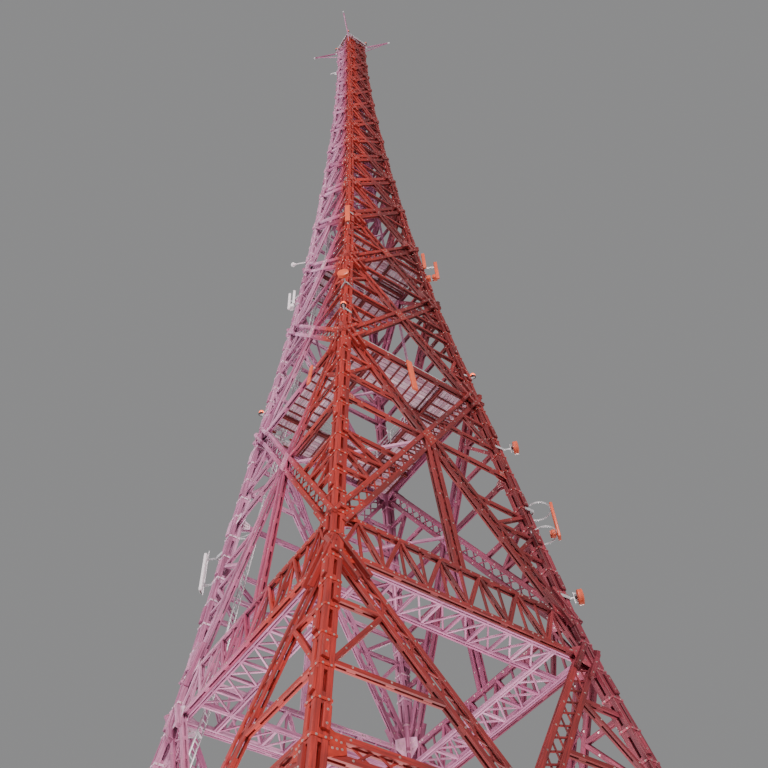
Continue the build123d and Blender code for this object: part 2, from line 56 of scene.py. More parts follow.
class Side(Enum):
    """A face of the mast and its turn about the vertical, in degrees."""

    FRONT = 0
    RIGHT = 90
    BACK = 180
    LEFT = 270


class Corner(Enum):
    """A leg of the mast and its turn from the front right leg, in degrees."""

    FRONT_RIGHT = 0
    BACK_RIGHT = 90
    BACK_LEFT = 180
    FRONT_LEFT = 270


class Surface(Enum):
    """Names of material slots, passed along with the pieces but not applied to them."""

    LEG = "leg_timber"
    BRACE = "brace_timber"
    DECK = "deck_boards"
    DARK_STEEL = "dark_steel"
    GALVANISED = "galvanised"
    COVER = "antenna_grey"
    LAMP = "lamp_red"


class Tone(Enum):
    """Tones of the mast: red and magenta floodlight painted into the red stain, each tone with its
    fresh, faded and dark timber and its painted steel, brighter as a painted highlight.
    """

    SCARLET = ((0.31, 0.009, 0.005), (0.47, 0.026, 0.016), (0.08, 0.004, 0.004),
               (0.46, 0.034, 0.020))
    RED = ((0.15, 0.007, 0.008), (0.27, 0.019, 0.020), (0.04, 0.004, 0.005), (0.30, 0.028, 0.022))
    ROSE = ((0.37, 0.036, 0.100), (0.58, 0.120, 0.250), (0.11, 0.010, 0.034), (0.60, 0.180, 0.310))
    MAUVE = ((0.24, 0.030, 0.075), (0.40, 0.085, 0.190), (0.07, 0.008, 0.024), (0.50, 0.160, 0.300))
    LILAC = ((0.46, 0.130, 0.270), (0.72, 0.340, 0.530), (0.14, 0.022, 0.065), (0.80, 0.560, 0.700))
    PALE = ((0.58, 0.320, 0.420), (0.82, 0.580, 0.660), (0.26, 0.090, 0.130), (0.80, 0.600, 0.680))


# The plate shade is brighter than the timber: a painted highlight in the floodlight colour.
PLATE_HIGHLIGHT_SHADE = 3     # the shade of painted steel in a tone

# Painted floodlight, red on one side and magenta on the other: share of a full turn about the mast,
# from the left face by way of the front, and the tone there
BEARINGS = ((0.0, Tone.LILAC), (0.18, Tone.LILAC), (0.30, Tone.ROSE), (0.355, Tone.SCARLET),
            (0.44, Tone.SCARLET), (0.51, Tone.RED), (0.66, Tone.RED), (0.76, Tone.MAUVE),
            (0.9, Tone.MAUVE), (1.0, Tone.LILAC))
# Two levels, and how far the painted floodlight tones are shifted along the turn at each
BEARING_SHIFT = (2.4, 5.6, 0.065, 0.0)


def turned(point: Vector, angle: float) -> Vector:
    """Point turned about the mast's axis by an angle in degrees."""
    return Matrix.Rotation(math.radians(angle), 3, "Z") @ point


def between(a: Point, b: Point, share: float) -> Point:
    """Point at a share of the way from a to b."""
    return a[0] + (b[0] - a[0]) * share, a[1] + (b[1] - a[1]) * share


def direction(a: Point, b: Point) -> Place:
    """Unit vector from a to b and the distance between them."""
    run = math.hypot(b[0] - a[0], b[1] - a[1])
    return (b[0] - a[0]) / run, (b[1] - a[1]) / run, run


def along(p: Point, q: Point, distance: float) -> Point:
    """Point at a distance from p toward q."""
    ux, uz, _ = direction(p, q)
    return p[0] + ux * distance, p[1] + uz * distance


def placed(name: str, data: bpy.types.ID) -> Object:
    """New object in the scene."""
    made = bpy.data.objects.new(name, data)
    bpy.context.scene.collection.objects.link(made)
    return made


@dataclass(frozen=True)
class MastProfile:
    """Outline of the mast: levels of the bays, side over the legs, and sizes of leg and bracing."""

    height: float = 10.97
    base_side: float = 2.01
    ring_side: float = 1.236
    ring_narrowing: float = 0.056
    gallery_side: float = 0.892
    upper_side: float = 0.695
    waist_side: float = 0.58
    neck_side: float = 0.357
    top_side: float = 0.226
    waist_hollow: float = 0.86
    neck_hollow: float = 0.5
    ring_level: float = 2.31
    ring_depth: float = 0.23
    first_level: float = 4.04
    upper_level: float = 5.08
    second_level: float = 5.53
    waist_level: float = 5.86
    third_level: float = 8.0
    waist_bays: int = 4
    neck_bays: int = 7
    waist_shrink: float = 0.86
    neck_shrink: float = 0.94
    leg_sizes: tuple[float, ...] = (0.052, 0.052, 0.05, 0.044, 0.036, 0.03)
    face_base: float = 0.026
    face_top: float = 0.016
    footing_top: float = 0.06
    shoe_top: float = 0.09
    ladder_start: float = 0.13
    ladder_offset: float = 0.06

    def stacked(self, low: float, high: float, count: int, shrink: float) -> list[float]:
        """Levels of bays that get shorter upwards by the same ratio.

        Args:
            low: Lowest level.
            high: Highest level.
            count: Number of bays.
            shrink: Height of a bay over the one below it.

        Returns:
            The levels from low to high.
        """
        steps = [shrink ** i for i in range(count)]
        scale = (high - low) / sum(steps)
        levels = [low]
        for step in steps:
            levels.append(levels[-1] + step * scale)
        levels[-1] = high
        return levels

    @property
    def ring_top(self) -> float:
        """Upper side of the ring girder."""
        return self.ring_level + self.ring_depth

    @property
    def waist_levels(self) -> list[float]:
        """Levels of the bays between the waist and the third platform."""
        return self.stacked(self.waist_level, self.third_level, self.waist_bays, self.waist_shrink)

    @property
    def neck_levels(self) -> list[float]:
        """Levels of the bays between the third platform and the top."""
        return self.stacked(self.third_level, self.height, self.neck_bays, self.neck_shrink)

    @property
    def ladder_marks(self) -> list[float]:
        """Levels at which the ladder changes slope."""
        return [self.ladder_start, self.ring_level, self.first_level, self.waist_level,
                self.third_level, self.height]

    def knots(self) -> tuple[list[float], list[float]]:
        """Levels at which the legs change slope, and the side over the legs at each."""
        levels = [0.0, self.ring_level, self.ring_top, self.first_level, self.upper_level]
        sides = [self.base_side, self.ring_side, self.ring_side - self.ring_narrowing,
                 self.gallery_side, self.upper_side]
        spans = ((self.waist_levels, self.waist_side, self.neck_side, self.waist_hollow),
                 (self.neck_levels, self.neck_side, self.top_side, self.neck_hollow))
        for span, first, last, hollow in spans:
            for z in span[0 if first == self.waist_side else 1:]:
                run = (z - span[0]) / (span[-1] - span[0])
                levels.append(z)
                sides.append(last + (first - last) * (1 - run) ** (1 / hollow))
        return levels, sides

    def side(self, z: float) -> float:
        """Side of the mast over the legs at a level."""
        return float(np.interp(z, *KNOTS))

    def leg_width(self, z: float) -> float:
        """Side of a leg at a level."""
        return float(np.interp(z, KNOTS[0], LEG_SIZES))

    def axis(self, z: float) -> float:
        """Distance from the mast's centre plane to the centre of a leg."""
        return self.side(z) / 2 - self.leg_width(z) / 2

    def inner(self, z: float) -> float:
        """Half the clear width between two legs of a face."""
        return self.axis(z) - self.leg_width(z) / 2

    def crossing(self, low: float, high: float) -> float:
        """Level at which the two diagonals of a bay cross."""
        a, b = self.inner(low), self.inner(high)
        return low + (high - low) * a / (a + b)

    def face_thickness(self, z: float) -> float:
        """Thickness of the face bracing, the same throughout a bay."""
        for low, high in zip(KNOTS[0], KNOTS[0][1:]):
            if z < high:
                break
        return float(np.interp((low + high) / 2, [0, self.height], [self.face_base, self.face_top]))

    def inside(self, z: float) -> float:
        """Half the clear width inside the bracing of the four faces at a level."""
        return self.axis(z) - self.face_thickness(z) / 2

    def ladder_centre(self, z: float) -> float:
        """Distance of the ladder from both centre planes of the mast."""
        return float(np.interp(z, self.ladder_marks,
                               [self.inner(m) - self.ladder_offset for m in self.ladder_marks]))


PROFILE = MastProfile()
KNOTS = PROFILE.knots()
LEG_MARKS = (0, PROFILE.ring_top, PROFILE.first_level, PROFILE.waist_level, PROFILE.third_level,
             PROFILE.height)
LEG_SIZES = np.interp(KNOTS[0], LEG_MARKS, PROFILE.leg_sizes)
QUARTERS = (0, 90, 180, 270)
SIGNS = ((1, 1), (1, -1), (-1, 1), (-1, -1))


def leg_centre(z: float) -> Vector:
    """Centre of the front right leg at a level."""
    a = PROFILE.axis(z)
    return Vector((a, -a, z))


# Node trees


class Tree:
    """Small helper that builds a node tree by name."""

    def __init__(self, tree: bpy.types.NodeTree) -> None:
        """Keeps the tree that nodes are added to."""
        self.tree = tree

    def node(self, kind: str, inputs: dict | None = None, **settings: object) -> bpy.types.Node:
        """Adds a node.

        Args:
            kind: Blender's name of the node type.
            inputs: Values or sockets by input name or index.
            **settings: Properties of the node.

        Returns:
            The new node.
        """
        made = self.tree.nodes.new(kind)
        for name, value in settings.items():
            setattr(made, name, value)
        for name, value in (inputs or {}).items():
            socket = made.inputs[name]
            if isinstance(value, Socket):
                self.tree.links.new(value, socket)
            else:
                socket.default_value = value
        return made

    def first(self, kind: str, inputs: dict | None = None, **settings: object) -> Socket:
        """First output of a new node."""
        return self.node(kind, inputs, **settings).outputs[0]

    def maths(self, operation: str, *values: object) -> Socket:
        """Result of a maths node on the values."""
        return self.first("ShaderNodeMath", dict(enumerate(values)), operation=operation)

    def vector(self, operation: str, *values: object) -> Socket:
        """Result of a vector maths node on the values."""
        return self.first("ShaderNodeVectorMath", dict(enumerate(values)), operation=operation)

    def noise(self, place: Socket, scale: float, detail: float, roughness: float = 0.5) -> Socket:
        """Grey noise at a place."""
        return self.node("ShaderNodeTexNoise", {
            "Vector": place, "Scale": scale, "Detail": detail,
            "Roughness": roughness}).outputs["Fac"]

    def mix(self, share: object, one: object, other: object, blend: str = "MIX") -> Socket:
        """Mix of two colours."""
        return self.node("ShaderNodeMix", {0: share, 6: one, 7: other}, data_type="RGBA",
                         blend_type=blend).outputs[2]

    def ramp(self, factor: Socket, low: float, high: float, dark: float,
             light: float) -> Socket:
        """Grey ramp between two positions of a factor."""
        made = self.node("ShaderNodeValToRGB", {"Fac": factor})
        first, last = made.color_ramp.elements
        first.position, last.position = low, high
        first.color = (dark, dark, dark, 1)
        last.color = (light, light, light, 1)
        return made.outputs[0]

    def painted_floodlight_by_bearing(self, shade: int) -> Socket:
        """Painted floodlight colour, in one of the shades, of the tone at a point's bearing and
        level.
        """
        place = self.node("ShaderNodeTexCoord").outputs["Object"]
        turn = self.node("ShaderNodeTexGradient", {"Vector": place},
                         gradient_type="RADIAL").outputs["Fac"]
        level = self.node("ShaderNodeSeparateXYZ", {"Vector": place}).outputs["Z"]
        low, high, *shifts = BEARING_SHIFT
        shift = self.first("ShaderNodeMapRange", {
            "Value": level, "From Min": low, "From Max": high, "To Min": shifts[0],
            "To Max": shifts[1]})
        made = self.node("ShaderNodeValToRGB", {"Fac": self.maths("ADD", turn, shift)})
        stops = made.color_ramp.elements
        for share, _ in BEARINGS[1:-1]:
            stops.new(share)
        for stop, (_, tone) in zip(stops, BEARINGS):
            stop.color = (*tone.value[shade], 1)
        return made.outputs[0]


class GeometryTree(Tree):
    """Geometry node tree with named inputs."""

    def __init__(self, name: str, sizes: dict[str, float]) -> None:
        """Makes the tree, its inputs and its output.

        Args:
            name: Name of the tree.
            sizes: Default of each named size.
        """
        super().__init__(bpy.data.node_groups.new(name, "GeometryNodeTree"))
        face = self.tree.interface
        face.new_socket("Geometry", in_out="INPUT", socket_type="NodeSocketGeometry")
        for label, value in sizes.items():
            socket = face.new_socket(label, in_out="INPUT", socket_type="NodeSocketFloat")
            socket.default_value = value
        face.new_socket("Material", in_out="INPUT", socket_type="NodeSocketMaterial")
        face.new_socket("Geometry", in_out="OUTPUT", socket_type="NodeSocketGeometry")
        self.inputs = self.tree.nodes.new("NodeGroupInput").outputs
        self.result = self.tree.nodes.new("NodeGroupOutput")

    def attribute(self, name: str, kind: str) -> Socket:
        """Field that reads a named attribute."""
        made = self.node("GeometryNodeInputNamedAttribute", {"Name": name}, data_type=kind)
        return next(s for s in made.outputs if s.enabled and s.name == "Attribute")

    def store(self, geometry: Socket, name: str, value: Socket) -> Socket:
        """Geometry with a vector stored on its points."""
        made = self.node("GeometryNodeStoreNamedAttribute", {"Geometry": geometry, "Name": name},
                         data_type="FLOAT_VECTOR", domain="POINT")
        socket = next(s for s in made.inputs if s.enabled and s.name == "Value")
        self.tree.links.new(value, socket)
        return made.outputs[0]

    def spread(self, instance: Socket, inputs: dict | None = None) -> Socket:
        """Copies of a geometry on the points, turned by their attribute."""
        copies = self.first("GeometryNodeInstanceOnPoints", {
            "Points": self.inputs["Geometry"], "Instance": instance,
            "Rotation": self.attribute("turn", "QUATERNION"), **(inputs or {})})
        return self.first("GeometryNodeRealizeInstances", {"Geometry": copies})

    def finish(self, geometry: Socket) -> bpy.types.NodeTree:
        """Sets flat shading and the material and ends the tree."""
        flat = self.first("GeometryNodeSetShadeSmooth", {"Geometry": geometry,
                                                         "Shade Smooth": False})
        painted = self.first("GeometryNodeSetMaterial", {"Geometry": flat,
                                                         "Material": self.inputs["Material"]})
        self.tree.links.new(painted, self.result.inputs[0])
        return self.tree


CHAMFER = 0.09          # chamfer of a timber over its size
FINE_CHAMFER = 0.25     # the same for a rail or rung
BOLT_SIZES = {"Washer": 0.0042, "Nut": 0.0026, "Height": 0.0022}
WASHER = (8, 0.6)       # sides, and thickness over the height
NUT = (6, 2.4)


def timber_tree() -> bpy.types.NodeTree:
    """Tree that puts one chamfered timber on each point, with its size and turn."""
    t = GeometryTree("timbers", {"Chamfer": CHAMFER})
    profile = t.first("GeometryNodeCurvePrimitiveQuadrilateral", {"Width": 1.0, "Height": 1.0})
    chamfered = t.first("GeometryNodeFilletCurve", {"Curve": profile,
                                                    "Radius": t.inputs["Chamfer"]})
    line = t.first("GeometryNodeCurvePrimitiveLine", {"Start": (-0.5, 0, 0), "End": (0.5, 0, 0)})
    bar = t.first("GeometryNodeCurveToMesh", {"Curve": line, "Profile Curve": chamfered,
                                              "Fill Caps": True})
    marked = t.store(bar, "grain", t.first("GeometryNodeInputPosition"))
    size = t.attribute("size", "FLOAT_VECTOR")
    real = t.spread(marked, {"Scale": size})
    scaled = t.vector("MULTIPLY", t.attribute("grain", "FLOAT_VECTOR"), size)
    shifted = t.vector("ADD", scaled, t.attribute("shift", "FLOAT_VECTOR"))
    return t.finish(t.store(real, "grain", shifted))


def bolt_tree() -> bpy.types.NodeTree:
    """Tree that puts a washer, nut and bolt end on each point, with its turn."""
    t = GeometryTree("bolts", BOLT_SIZES)
    both = t.node("GeometryNodeJoinGeometry")
    for label, (sides, share) in (("Washer", WASHER), ("Nut", NUT)):
        part = t.first("GeometryNodeMeshCylinder", {
            "Vertices": sides, "Radius": t.inputs[label],
            "Depth": t.maths("MULTIPLY", t.inputs["Height"], share)})
        t.tree.links.new(part, both.inputs[0])
    return t.finish(t.spread(both.outputs[0]))


# Lists of parts


# Board of a pair, and the distance of its middle from theirs, over the width of the pair
PAIR_BOARD, PAIR_OFFSET = 0.42, 0.29


@dataclass
class Timber:
    """One straight bar between two points, with its depth along a facing direction."""

    start: Vector
    end: Vector
    width: float
    depth: float
    facing: Vector

    def turn(self) -> Quaternion:
        """Turn that brings X along the timber and Z along its facing."""
        along = (self.end - self.start).normalized()
        across = self.facing.cross(along).normalized()
        up = along.cross(across).normalized()
        return Matrix((along, across, up)).transposed().to_quaternion()


@dataclass
class PartList:
    """Timbers, bolts and plates of one piece, all in the mast's frame."""

    timbers: list[Timber] = field(default_factory=list)
    bolts: list[tuple[Vector, Vector]] = field(default_factory=list)
    plates: list[tuple[list[Vector], Vector]] = field(default_factory=list)

    def add(self, start: Vector, end: Vector, width: float, depth: float, facing: Vector) -> None:
        """Adds a timber from start to end."""
        self.timbers.append(Timber(start, end, width, depth, facing))

    def pair(self, start: Vector, end: Vector, across: Vector, width: float, depth: float) -> None:
        """Adds two upright boards side by side that together take up a width.

        Args:
            start: Start of the middle line.
            end: End of the middle line.
            across: Direction from one board to the other.
            width: Width over both boards.
            depth: Height of the boards.
        """
        for s in (1, -1):
            off = across * s * width * PAIR_OFFSET
            self.add(start + off, end + off, width * PAIR_BOARD, depth, UP)

    def bolt(self, place: Vector, facing: Vector) -> None:
        """Adds a bolt end whose axis is the facing."""
        self.bolts.append((place, facing))

    def plate(self, outline: list[Vector], thick: Vector) -> None:
        """Adds a flat plate from its outline and its thickness as a vector."""
        self.plates.append((outline, thick))

    def merge(self, other: "PartList") -> None:
        """Adds all parts of another list."""
        self.timbers += other.timbers
        self.bolts += other.bolts
        self.plates += other.plates

    def turned(self, angle: float, lift: float = 0.0) -> "PartList":
        """The parts turned about the mast's axis by an angle in degrees, with timbers lifted."""
        made = PartList()
        rise = UP * lift
        for t in self.timbers:
            made.add(turned(t.start, angle) + rise, turned(t.end, angle) + rise, t.width, t.depth,
                     turned(t.facing, angle))
        for place, facing in self.bolts:
            made.bolt(turned(place, angle), turned(facing, angle))
        for outline, thick in self.plates:
            made.plate([turned(p, angle) for p in outline], turned(thick, angle))
        return made

    def all_round(self, lift: float = 0.0) -> "PartList":
        """The parts repeated on all four sides, with the timbers of every second side lifted."""
        made = PartList()
        for number, side in enumerate(Side):
            made.merge(self.turned(side.value, lift * (number % 2)))
        return made


# Rounded end of a cover: distance from the end over the edge radius, and share of the full size
COVER_END = ((0.0, 0.8), (0.28, 0.93), (0.7, 1.0))


class Shapes:
    """Collects lofts, rods and plates of one finish as plain meshes in the mast's frame."""

    def __init__(self) -> None:
        """Starts with nothing."""
        self.points: list[Vector] = []
        self.faces: list[tuple[int, ...]] = []

    def loft(self, rings: list[list[Vector]]) -> None:
        """Closed skin through rings of as many points, counter-clockwise from the last one."""
        start, count = len(self.points), len(rings[0])
        for ring in rings:
            self.points += ring
        for k in range(len(rings) - 1):
            for i in range(count):
                j = (i + 1) % count
                a, b = start + k * count, start + (k + 1) * count
                self.faces.append((a + i, a + j, b + j, b + i))
        self.faces.append(tuple(start + i for i in range(count))[::-1])
        self.faces.append(tuple(start + (len(rings) - 1) * count + i for i in range(count)))

    def lathe(self, base: Vector, along: Vector, profile: Sequence[Point], count: int = 24) -> None:
        """Turned form.

        Args:
            base: Start of the axis.
            along: Direction of the axis.
            profile: Height and radius of each ring, from the base upwards.
            count: Number of sides.
        """
        axis = along.normalized()
        x = axis.orthogonal().normalized()
        y = axis.cross(x)
        angles = [2 * math.pi * i / count for i in range(count)]
        self.loft([[base + axis * height + (x * math.cos(a) + y * math.sin(a)) * radius
                    for a in angles]
                   for height, radius in profile])

    def rod(self, start: Vector, end: Vector, radius: float, count: int = 10) -> None:
        """Round bar between two points."""
        self.lathe(start, end - start, [(0, radius), ((end - start).length, radius)], count)

    def ball(self, centre: Vector, radius: float, count: int = 20) -> None:
        """Round ball."""
        tilts = [math.pi * (i + 0.5) / count - math.pi / 2 for i in range(count)]
        self.lathe(centre, UP, [(radius * math.sin(t), radius * math.cos(t)) for t in tilts], count)

    def cover(self, low: Vector, high: Vector, out: Vector, width: float, depth: float,
              corner: float = 0.35, count: int = 5) -> None:
        """Long cover with rounded edges and ends.

        Args:
            low: Middle of the lower end.
            high: Middle of the upper end.
            out: Direction of the depth.
            width: Size across.
            depth: Size along out.
            corner: Radius of the edges over the depth.
            count: Points in each rounded edge.
        """
        along = (high - low).normalized()
        across = out.cross(along).normalized()
        front = along.cross(across)
        radius = depth * corner
        outline = []
        for sx, sy, turn in ((1, 1, 0), (-1, 1, 90), (-1, -1, 180), (1, -1, 270)):
            for i in range(count):
                a = math.radians(turn + 90 * i / (count - 1))
                outline.append((sx * (width / 2 - radius) + radius * math.cos(a),
                                sy * (depth / 2 - radius) + radius * math.sin(a)))
        length = (high - low).length
        steps = [(radius * h, share) for h, share in COVER_END]
        steps += [(length - h, share) for h, share in reversed(steps)]
        self.loft([[low + along * h + across * (x * share) + front * (y * share)
                    for x, y in outline] for h, share in steps])

    def plate(self, outline: Sequence[Vector], thick: Vector) -> None:
        """Flat plate with its outline on one side and its thickness as a vector."""
        normal = (outline[1] - outline[0]).cross(outline[2] - outline[1])
        points = list(outline) if normal.dot(thick) > 0 else list(outline)[::-1]
        self.loft([points, [p + thick for p in points]])

    def build(self, name: str, finish: Material, smooth: float = 40) -> Object:
        """Mesh object of everything collected.

        Args:
            name: Name of the piece.
            finish: Its material.
            smooth: Edges that turn more than this many degrees stay sharp.

        Returns:
            The piece.
        """
        mesh = bpy.data.meshes.new(name)
        mesh.from_pydata([tuple(p) for p in self.points], [], self.faces)
        mesh.materials.append(finish)
        mesh.polygons.foreach_set("use_smooth", [True] * len(mesh.polygons))
        mesh.set_sharp_from_angle(angle=math.radians(smooth))
        return placed(name, mesh)


GRAIN_SPREAD = 30.0     # the grain of each timber starts somewhere within this length


class Workshop:
    """Turns lists of timbers and bolts into plain meshes with the geometry node trees."""

    def __init__(self) -> None:
        """Builds the trees once."""
        self.timbers = timber_tree()
        self.bolts = bolt_tree()

    def mark(self, mesh: bpy.types.Mesh, name: str, kind: str, values: Sequence) -> None:
        """Stores a named attribute of a kind on the points of a mesh."""
        layer = mesh.attributes.new(name, kind, "POINT")
        layer.data.foreach_set("vector" if kind == "FLOAT_VECTOR" else "value", np.ravel(values))

    def points(self, name: str, places: Sequence[Vector], turns: Sequence[Quaternion]) -> Object:
        """Object with one vertex at each place that carries its turn.

        Args:
            name: Name of the object.
            places: Place of each vertex.
            turns: Turn that it carries.

        Returns:
            The object.
        """
        mesh = bpy.data.meshes.new(name)
        mesh.vertices.add(len(places))
        mesh.vertices.foreach_set("co", np.array([tuple(p) for p in places], float).ravel())
        self.mark(mesh, "turn", "QUATERNION", [tuple(q) for q in turns])
        return placed(name, mesh)

    def grown(self, made: Object, tree: bpy.types.NodeTree, finish: Material,
              sizes: dict[str, float], drop: Iterable[str]) -> Object:
        """Runs a tree on an object and keeps the result as its plain mesh.

        Args:
            made: Object that carries the points.
            tree: Geometry node tree.
            finish: Material of the result.
            sizes: Named sizes that differ from the tree's own.
            drop: Attributes that the result no longer needs.

        Returns:
            The same object with the realized mesh.
        """
        modifier = made.modifiers.new("grow", "NODES")
        modifier.node_group = tree
        for socket in tree.interface.items_tree:
            if socket.in_out == "INPUT" and socket.name in sizes:
                modifier[socket.identifier] = sizes[socket.name]
            if socket.in_out == "INPUT" and socket.name == "Material":
                modifier[socket.identifier] = finish
        bpy.context.view_layer.update()
        graph = bpy.context.evaluated_depsgraph_get()
        ready = made.evaluated_get(graph)
        mesh = bpy.data.meshes.new_from_object(ready, preserve_all_data_layers=True,
                                               depsgraph=graph)
        made.modifiers.remove(modifier)
        made.data = mesh
        if not mesh.materials:
            mesh.materials.append(finish)
        for label in drop:
            if label in mesh.attributes:
                mesh.attributes.remove(mesh.attributes[label])
        return made

    def build(self, name: str, parts: PartList, finish: Material, seed: int,
              chamfer: float = CHAMFER) -> Object:
        """Mesh object of all timbers of a list.

        Args:
            name: Name of the piece.
            parts: Timbers to make.
            finish: Their material.
            seed: Fixes the tone and grain offset of each timber.
            chamfer: Chamfer as a share of the timber's width.

        Returns:
            The piece.
        """
        draw = random.Random(seed)
        timbers = parts.timbers
        made = self.points(name, [(t.start + t.end) / 2 for t in timbers],
                           [t.turn() for t in timbers])
        mesh, mark = made.data, self.mark
        mark(mesh, "size", "FLOAT_VECTOR",
             [((t.end - t.start).length, t.width, t.depth) for t in timbers])
        mark(mesh, "shift", "FLOAT_VECTOR",
             [draw.uniform(0, GRAIN_SPREAD) for _ in range(3 * len(timbers))])
        mark(mesh, "tone", "FLOAT", [draw.random() for _ in timbers])
        return self.grown(made, self.timbers, finish, {"Chamfer": chamfer},
                          ("size", "turn", "shift"))

    def bolted(self, name: str, parts: PartList, finish: Material) -> Object:
        """Mesh object of all bolt ends of a list."""
        turns = [facing.to_track_quat("Z", "Y") for _, facing in parts.bolts]
        made = self.points(name, [place for place, _ in parts.bolts], turns)
        return self.grown(made, self.bolts, finish, {}, ("turn",))

    def plated(self, name: str, parts: PartList, finish: Material) -> Object:
        """Mesh object of all plates of a list."""
        shapes = Shapes()
        for outline, thick in parts.plates:
            shapes.plate(outline, thick)
        return shapes.build(name, finish)


# Finishes


class Finish:
    """A surface finish that makes its own material."""

    name: str
    relief: float
    relief_depth = 0.0015

    def shader(self, roughness: float, metallic: float = 0.0) -> tuple[Tree, bpy.types.Node]:
        """Starts a material.

        Args:
            roughness: Roughness set on the shader.
            metallic: Metallic value set on the shader.

        Returns:
            The material's tree helper and its main shader.
        """
        self.made = bpy.data.materials.new(self.name)
        self.made.use_nodes = True
        main = self.made.node_tree.nodes["Principled BSDF"]
        main.inputs["Roughness"].default_value = roughness
        main.inputs["Metallic"].default_value = metallic
        return Tree(self.made.node_tree), main

    def coat(self, t: Tree, main: bpy.types.Node, colour: Socket, height: Socket) -> Material:
        """Ends a material with its colour and a relief of the given height."""
        bump = t.first("ShaderNodeBump", {"Height": height, "Strength": self.relief,
                                          "Distance": self.relief_depth})
        t.tree.links.new(colour, main.inputs["Base Color"])
        t.tree.links.new(bump, main.inputs["Normal"])
        return self.made


@dataclass
class StainedTimberWithPaintedLight(Finish):
    """Weathered, stained timber whose grain runs along each piece, with painted floodlight colour
    of one tone or by bearing.
    """

    name: str
    painted_light_tone: Tone | None = None
    roughness: float = 0.6
    fibre_stretch: Place = (6.0, 190.0, 190.0)
    fibre_scale: float = 1.6
    fibre_roughness: float = 0.62
    cloud_stretch: Place = (2.2, 24.0, 24.0)
    fibre_ramp: tuple[float, float, float, float] = (0.36, 0.66, 0.38, 1.15)
    fibre_share: float = 0.8
    dark_ramp: tuple[float, float, float, float] = (0.5, 0.72, 0.0, 0.75)
    relief: float = 0.4

    def material(self) -> Material:
        """Material that reads the grain and tone attributes of the timbers."""
        t, main = self.shader(self.roughness)
        grain = t.node("ShaderNodeAttribute", attribute_name="grain").outputs["Vector"]
        tone = t.node("ShaderNodeAttribute", attribute_name="tone").outputs["Fac"]
        fine, broad = [t.first("ShaderNodeMapping", {"Vector": grain, "Scale": stretch})
                       for stretch in (self.fibre_stretch, self.cloud_stretch)]
        fibre = t.noise(fine, self.fibre_scale, 5.0, self.fibre_roughness)
        cloud = t.noise(broad, 1.0, 3.0)
        # Fresh, faded and dark shades of the painted floodlight, of one tone or by bearing
        fresh, faded, dark = [
            (*self.painted_light_tone.value[shade], 1) if self.painted_light_tone else t.painted_floodlight_by_bearing(shade)
            for shade in range(3)]
        grained = t.mix(self.fibre_share, t.mix(tone, fresh, faded),
                        t.ramp(fibre, *self.fibre_ramp), "MULTIPLY")
        worn = t.mix(t.ramp(cloud, *self.dark_ramp), grained, dark)
        return self.coat(t, main, worn, fibre)


@dataclass
class Mottled(Finish):
    """Metal, cover or concrete of slightly uneven tone and surface, of one colour or, by bearing,
    of painted floodlight colour with a painted highlight.
    """

    name: str
    colour: Colour | None = None
    roughness: float = 0.4
    metallic: float = 0.0
    spread: float = 0.25
    scale: float = 38.0
    pores: float = 90.0
    relief: float = 0.15

    def material(self) -> Material:
        """Material of two tones with a fine relief."""
        t, main = self.shader(self.roughness, self.metallic)
        place = t.node("ShaderNodeTexCoord").outputs["Object"]
        # By bearing: painted floodlight colour in the brighter plate shade, a painted highlight.
        base = (*self.colour, 1) if self.colour else t.painted_floodlight_by_bearing(PLATE_HIGHLIGHT_SHADE)
        shade = t.ramp(t.noise(place, self.scale, 6.0), 0.3, 0.7, 1 - self.spread, 1 + self.spread)
        return self.coat(t, main, t.mix(1.0, base, shade, "MULTIPLY"),
                         t.noise(place, self.pores, 3.0))


@dataclass
class LampGlass(Finish):
    """Red glass with a light behind it."""

    name: str
    colour: Colour
    light: Colour = (1.0, 0.11, 0.01)
    glow: float = 3.2
    roughness: float = 0.16
    gloss: float = 0.6

    def material(self) -> Material:
        """Glossy red material that glows."""
        _, main = self.shader(self.roughness)
        main.inputs["Base Color"].default_value = (*self.colour, 1)
        main.inputs["Emission Color"].default_value = (*self.light, 1)
        main.inputs["Emission Strength"].default_value = self.glow
        main.inputs["Coat Weight"].default_value = self.gloss
        return self.made


class Palette:
    """All finishes of the mast."""

    def __init__(self) -> None:
        """Makes each material once."""
        # Faces and legs: red stain with painted floodlight, red to lilac round the mast by bearing
        self.timber = StainedTimberWithPaintedLight("stained_larch_painted_floodlight").material()
        # Inner members: lilac tone, painted light from inside the mast.
        self.inner = StainedTimberWithPaintedLight("larch_painted_lilac_light", Tone.LILAC).material()
        self.joist = StainedTimberWithPaintedLight("red_larch", Tone.RED).material()
        # Deck boards: pale tone, painted floodlight from below.
        self.deck = StainedTimberWithPaintedLight("deck_boards_painted_floodlight", Tone.PALE).material()
        # Plates: painted floodlight colour by bearing, brightened as a painted highlight.
        self.plate = Mottled("plate_paint_and_painted_highlight", metallic=0.25).material()
        self.bolt = Mottled("pale_bolt_metal", (0.66, 0.50, 0.48), 0.35, 0.85).material()
        self.galvanised = Mottled("galvanised_steel", (0.60, 0.57, 0.60), 0.42, 0.6).material()
        self.dark = Mottled("dark_painted_steel", (0.07, 0.035, 0.035), 0.5, 0.3).material()
        self.cover = Mottled("pale_cover", (0.80, 0.72, 0.76), spread=0.06).material()
        self.red_cover = Mottled("orange_cover", (0.66, 0.10, 0.045), spread=0.08).material()
        self.concrete = Mottled("cast_concrete", (0.44, 0.42, 0.39), 0.88, spread=0.22,
                                scale=9.0, pores=130.0, relief=0.5).material()
        self.lamp = LampGlass("red_lamp_glass", (0.8, 0.05, 0.02)).material()


# Pieces


def give(piece: Object, surface: Surface, *nodes: str) -> None:
    """Rides a piece on the mast and hides the nodes that it stands for."""
    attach(piece, "root")
    if nodes:
        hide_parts(*nodes)
    LOG.info("%s: %d faces", piece.name, len(piece.data.polygons))


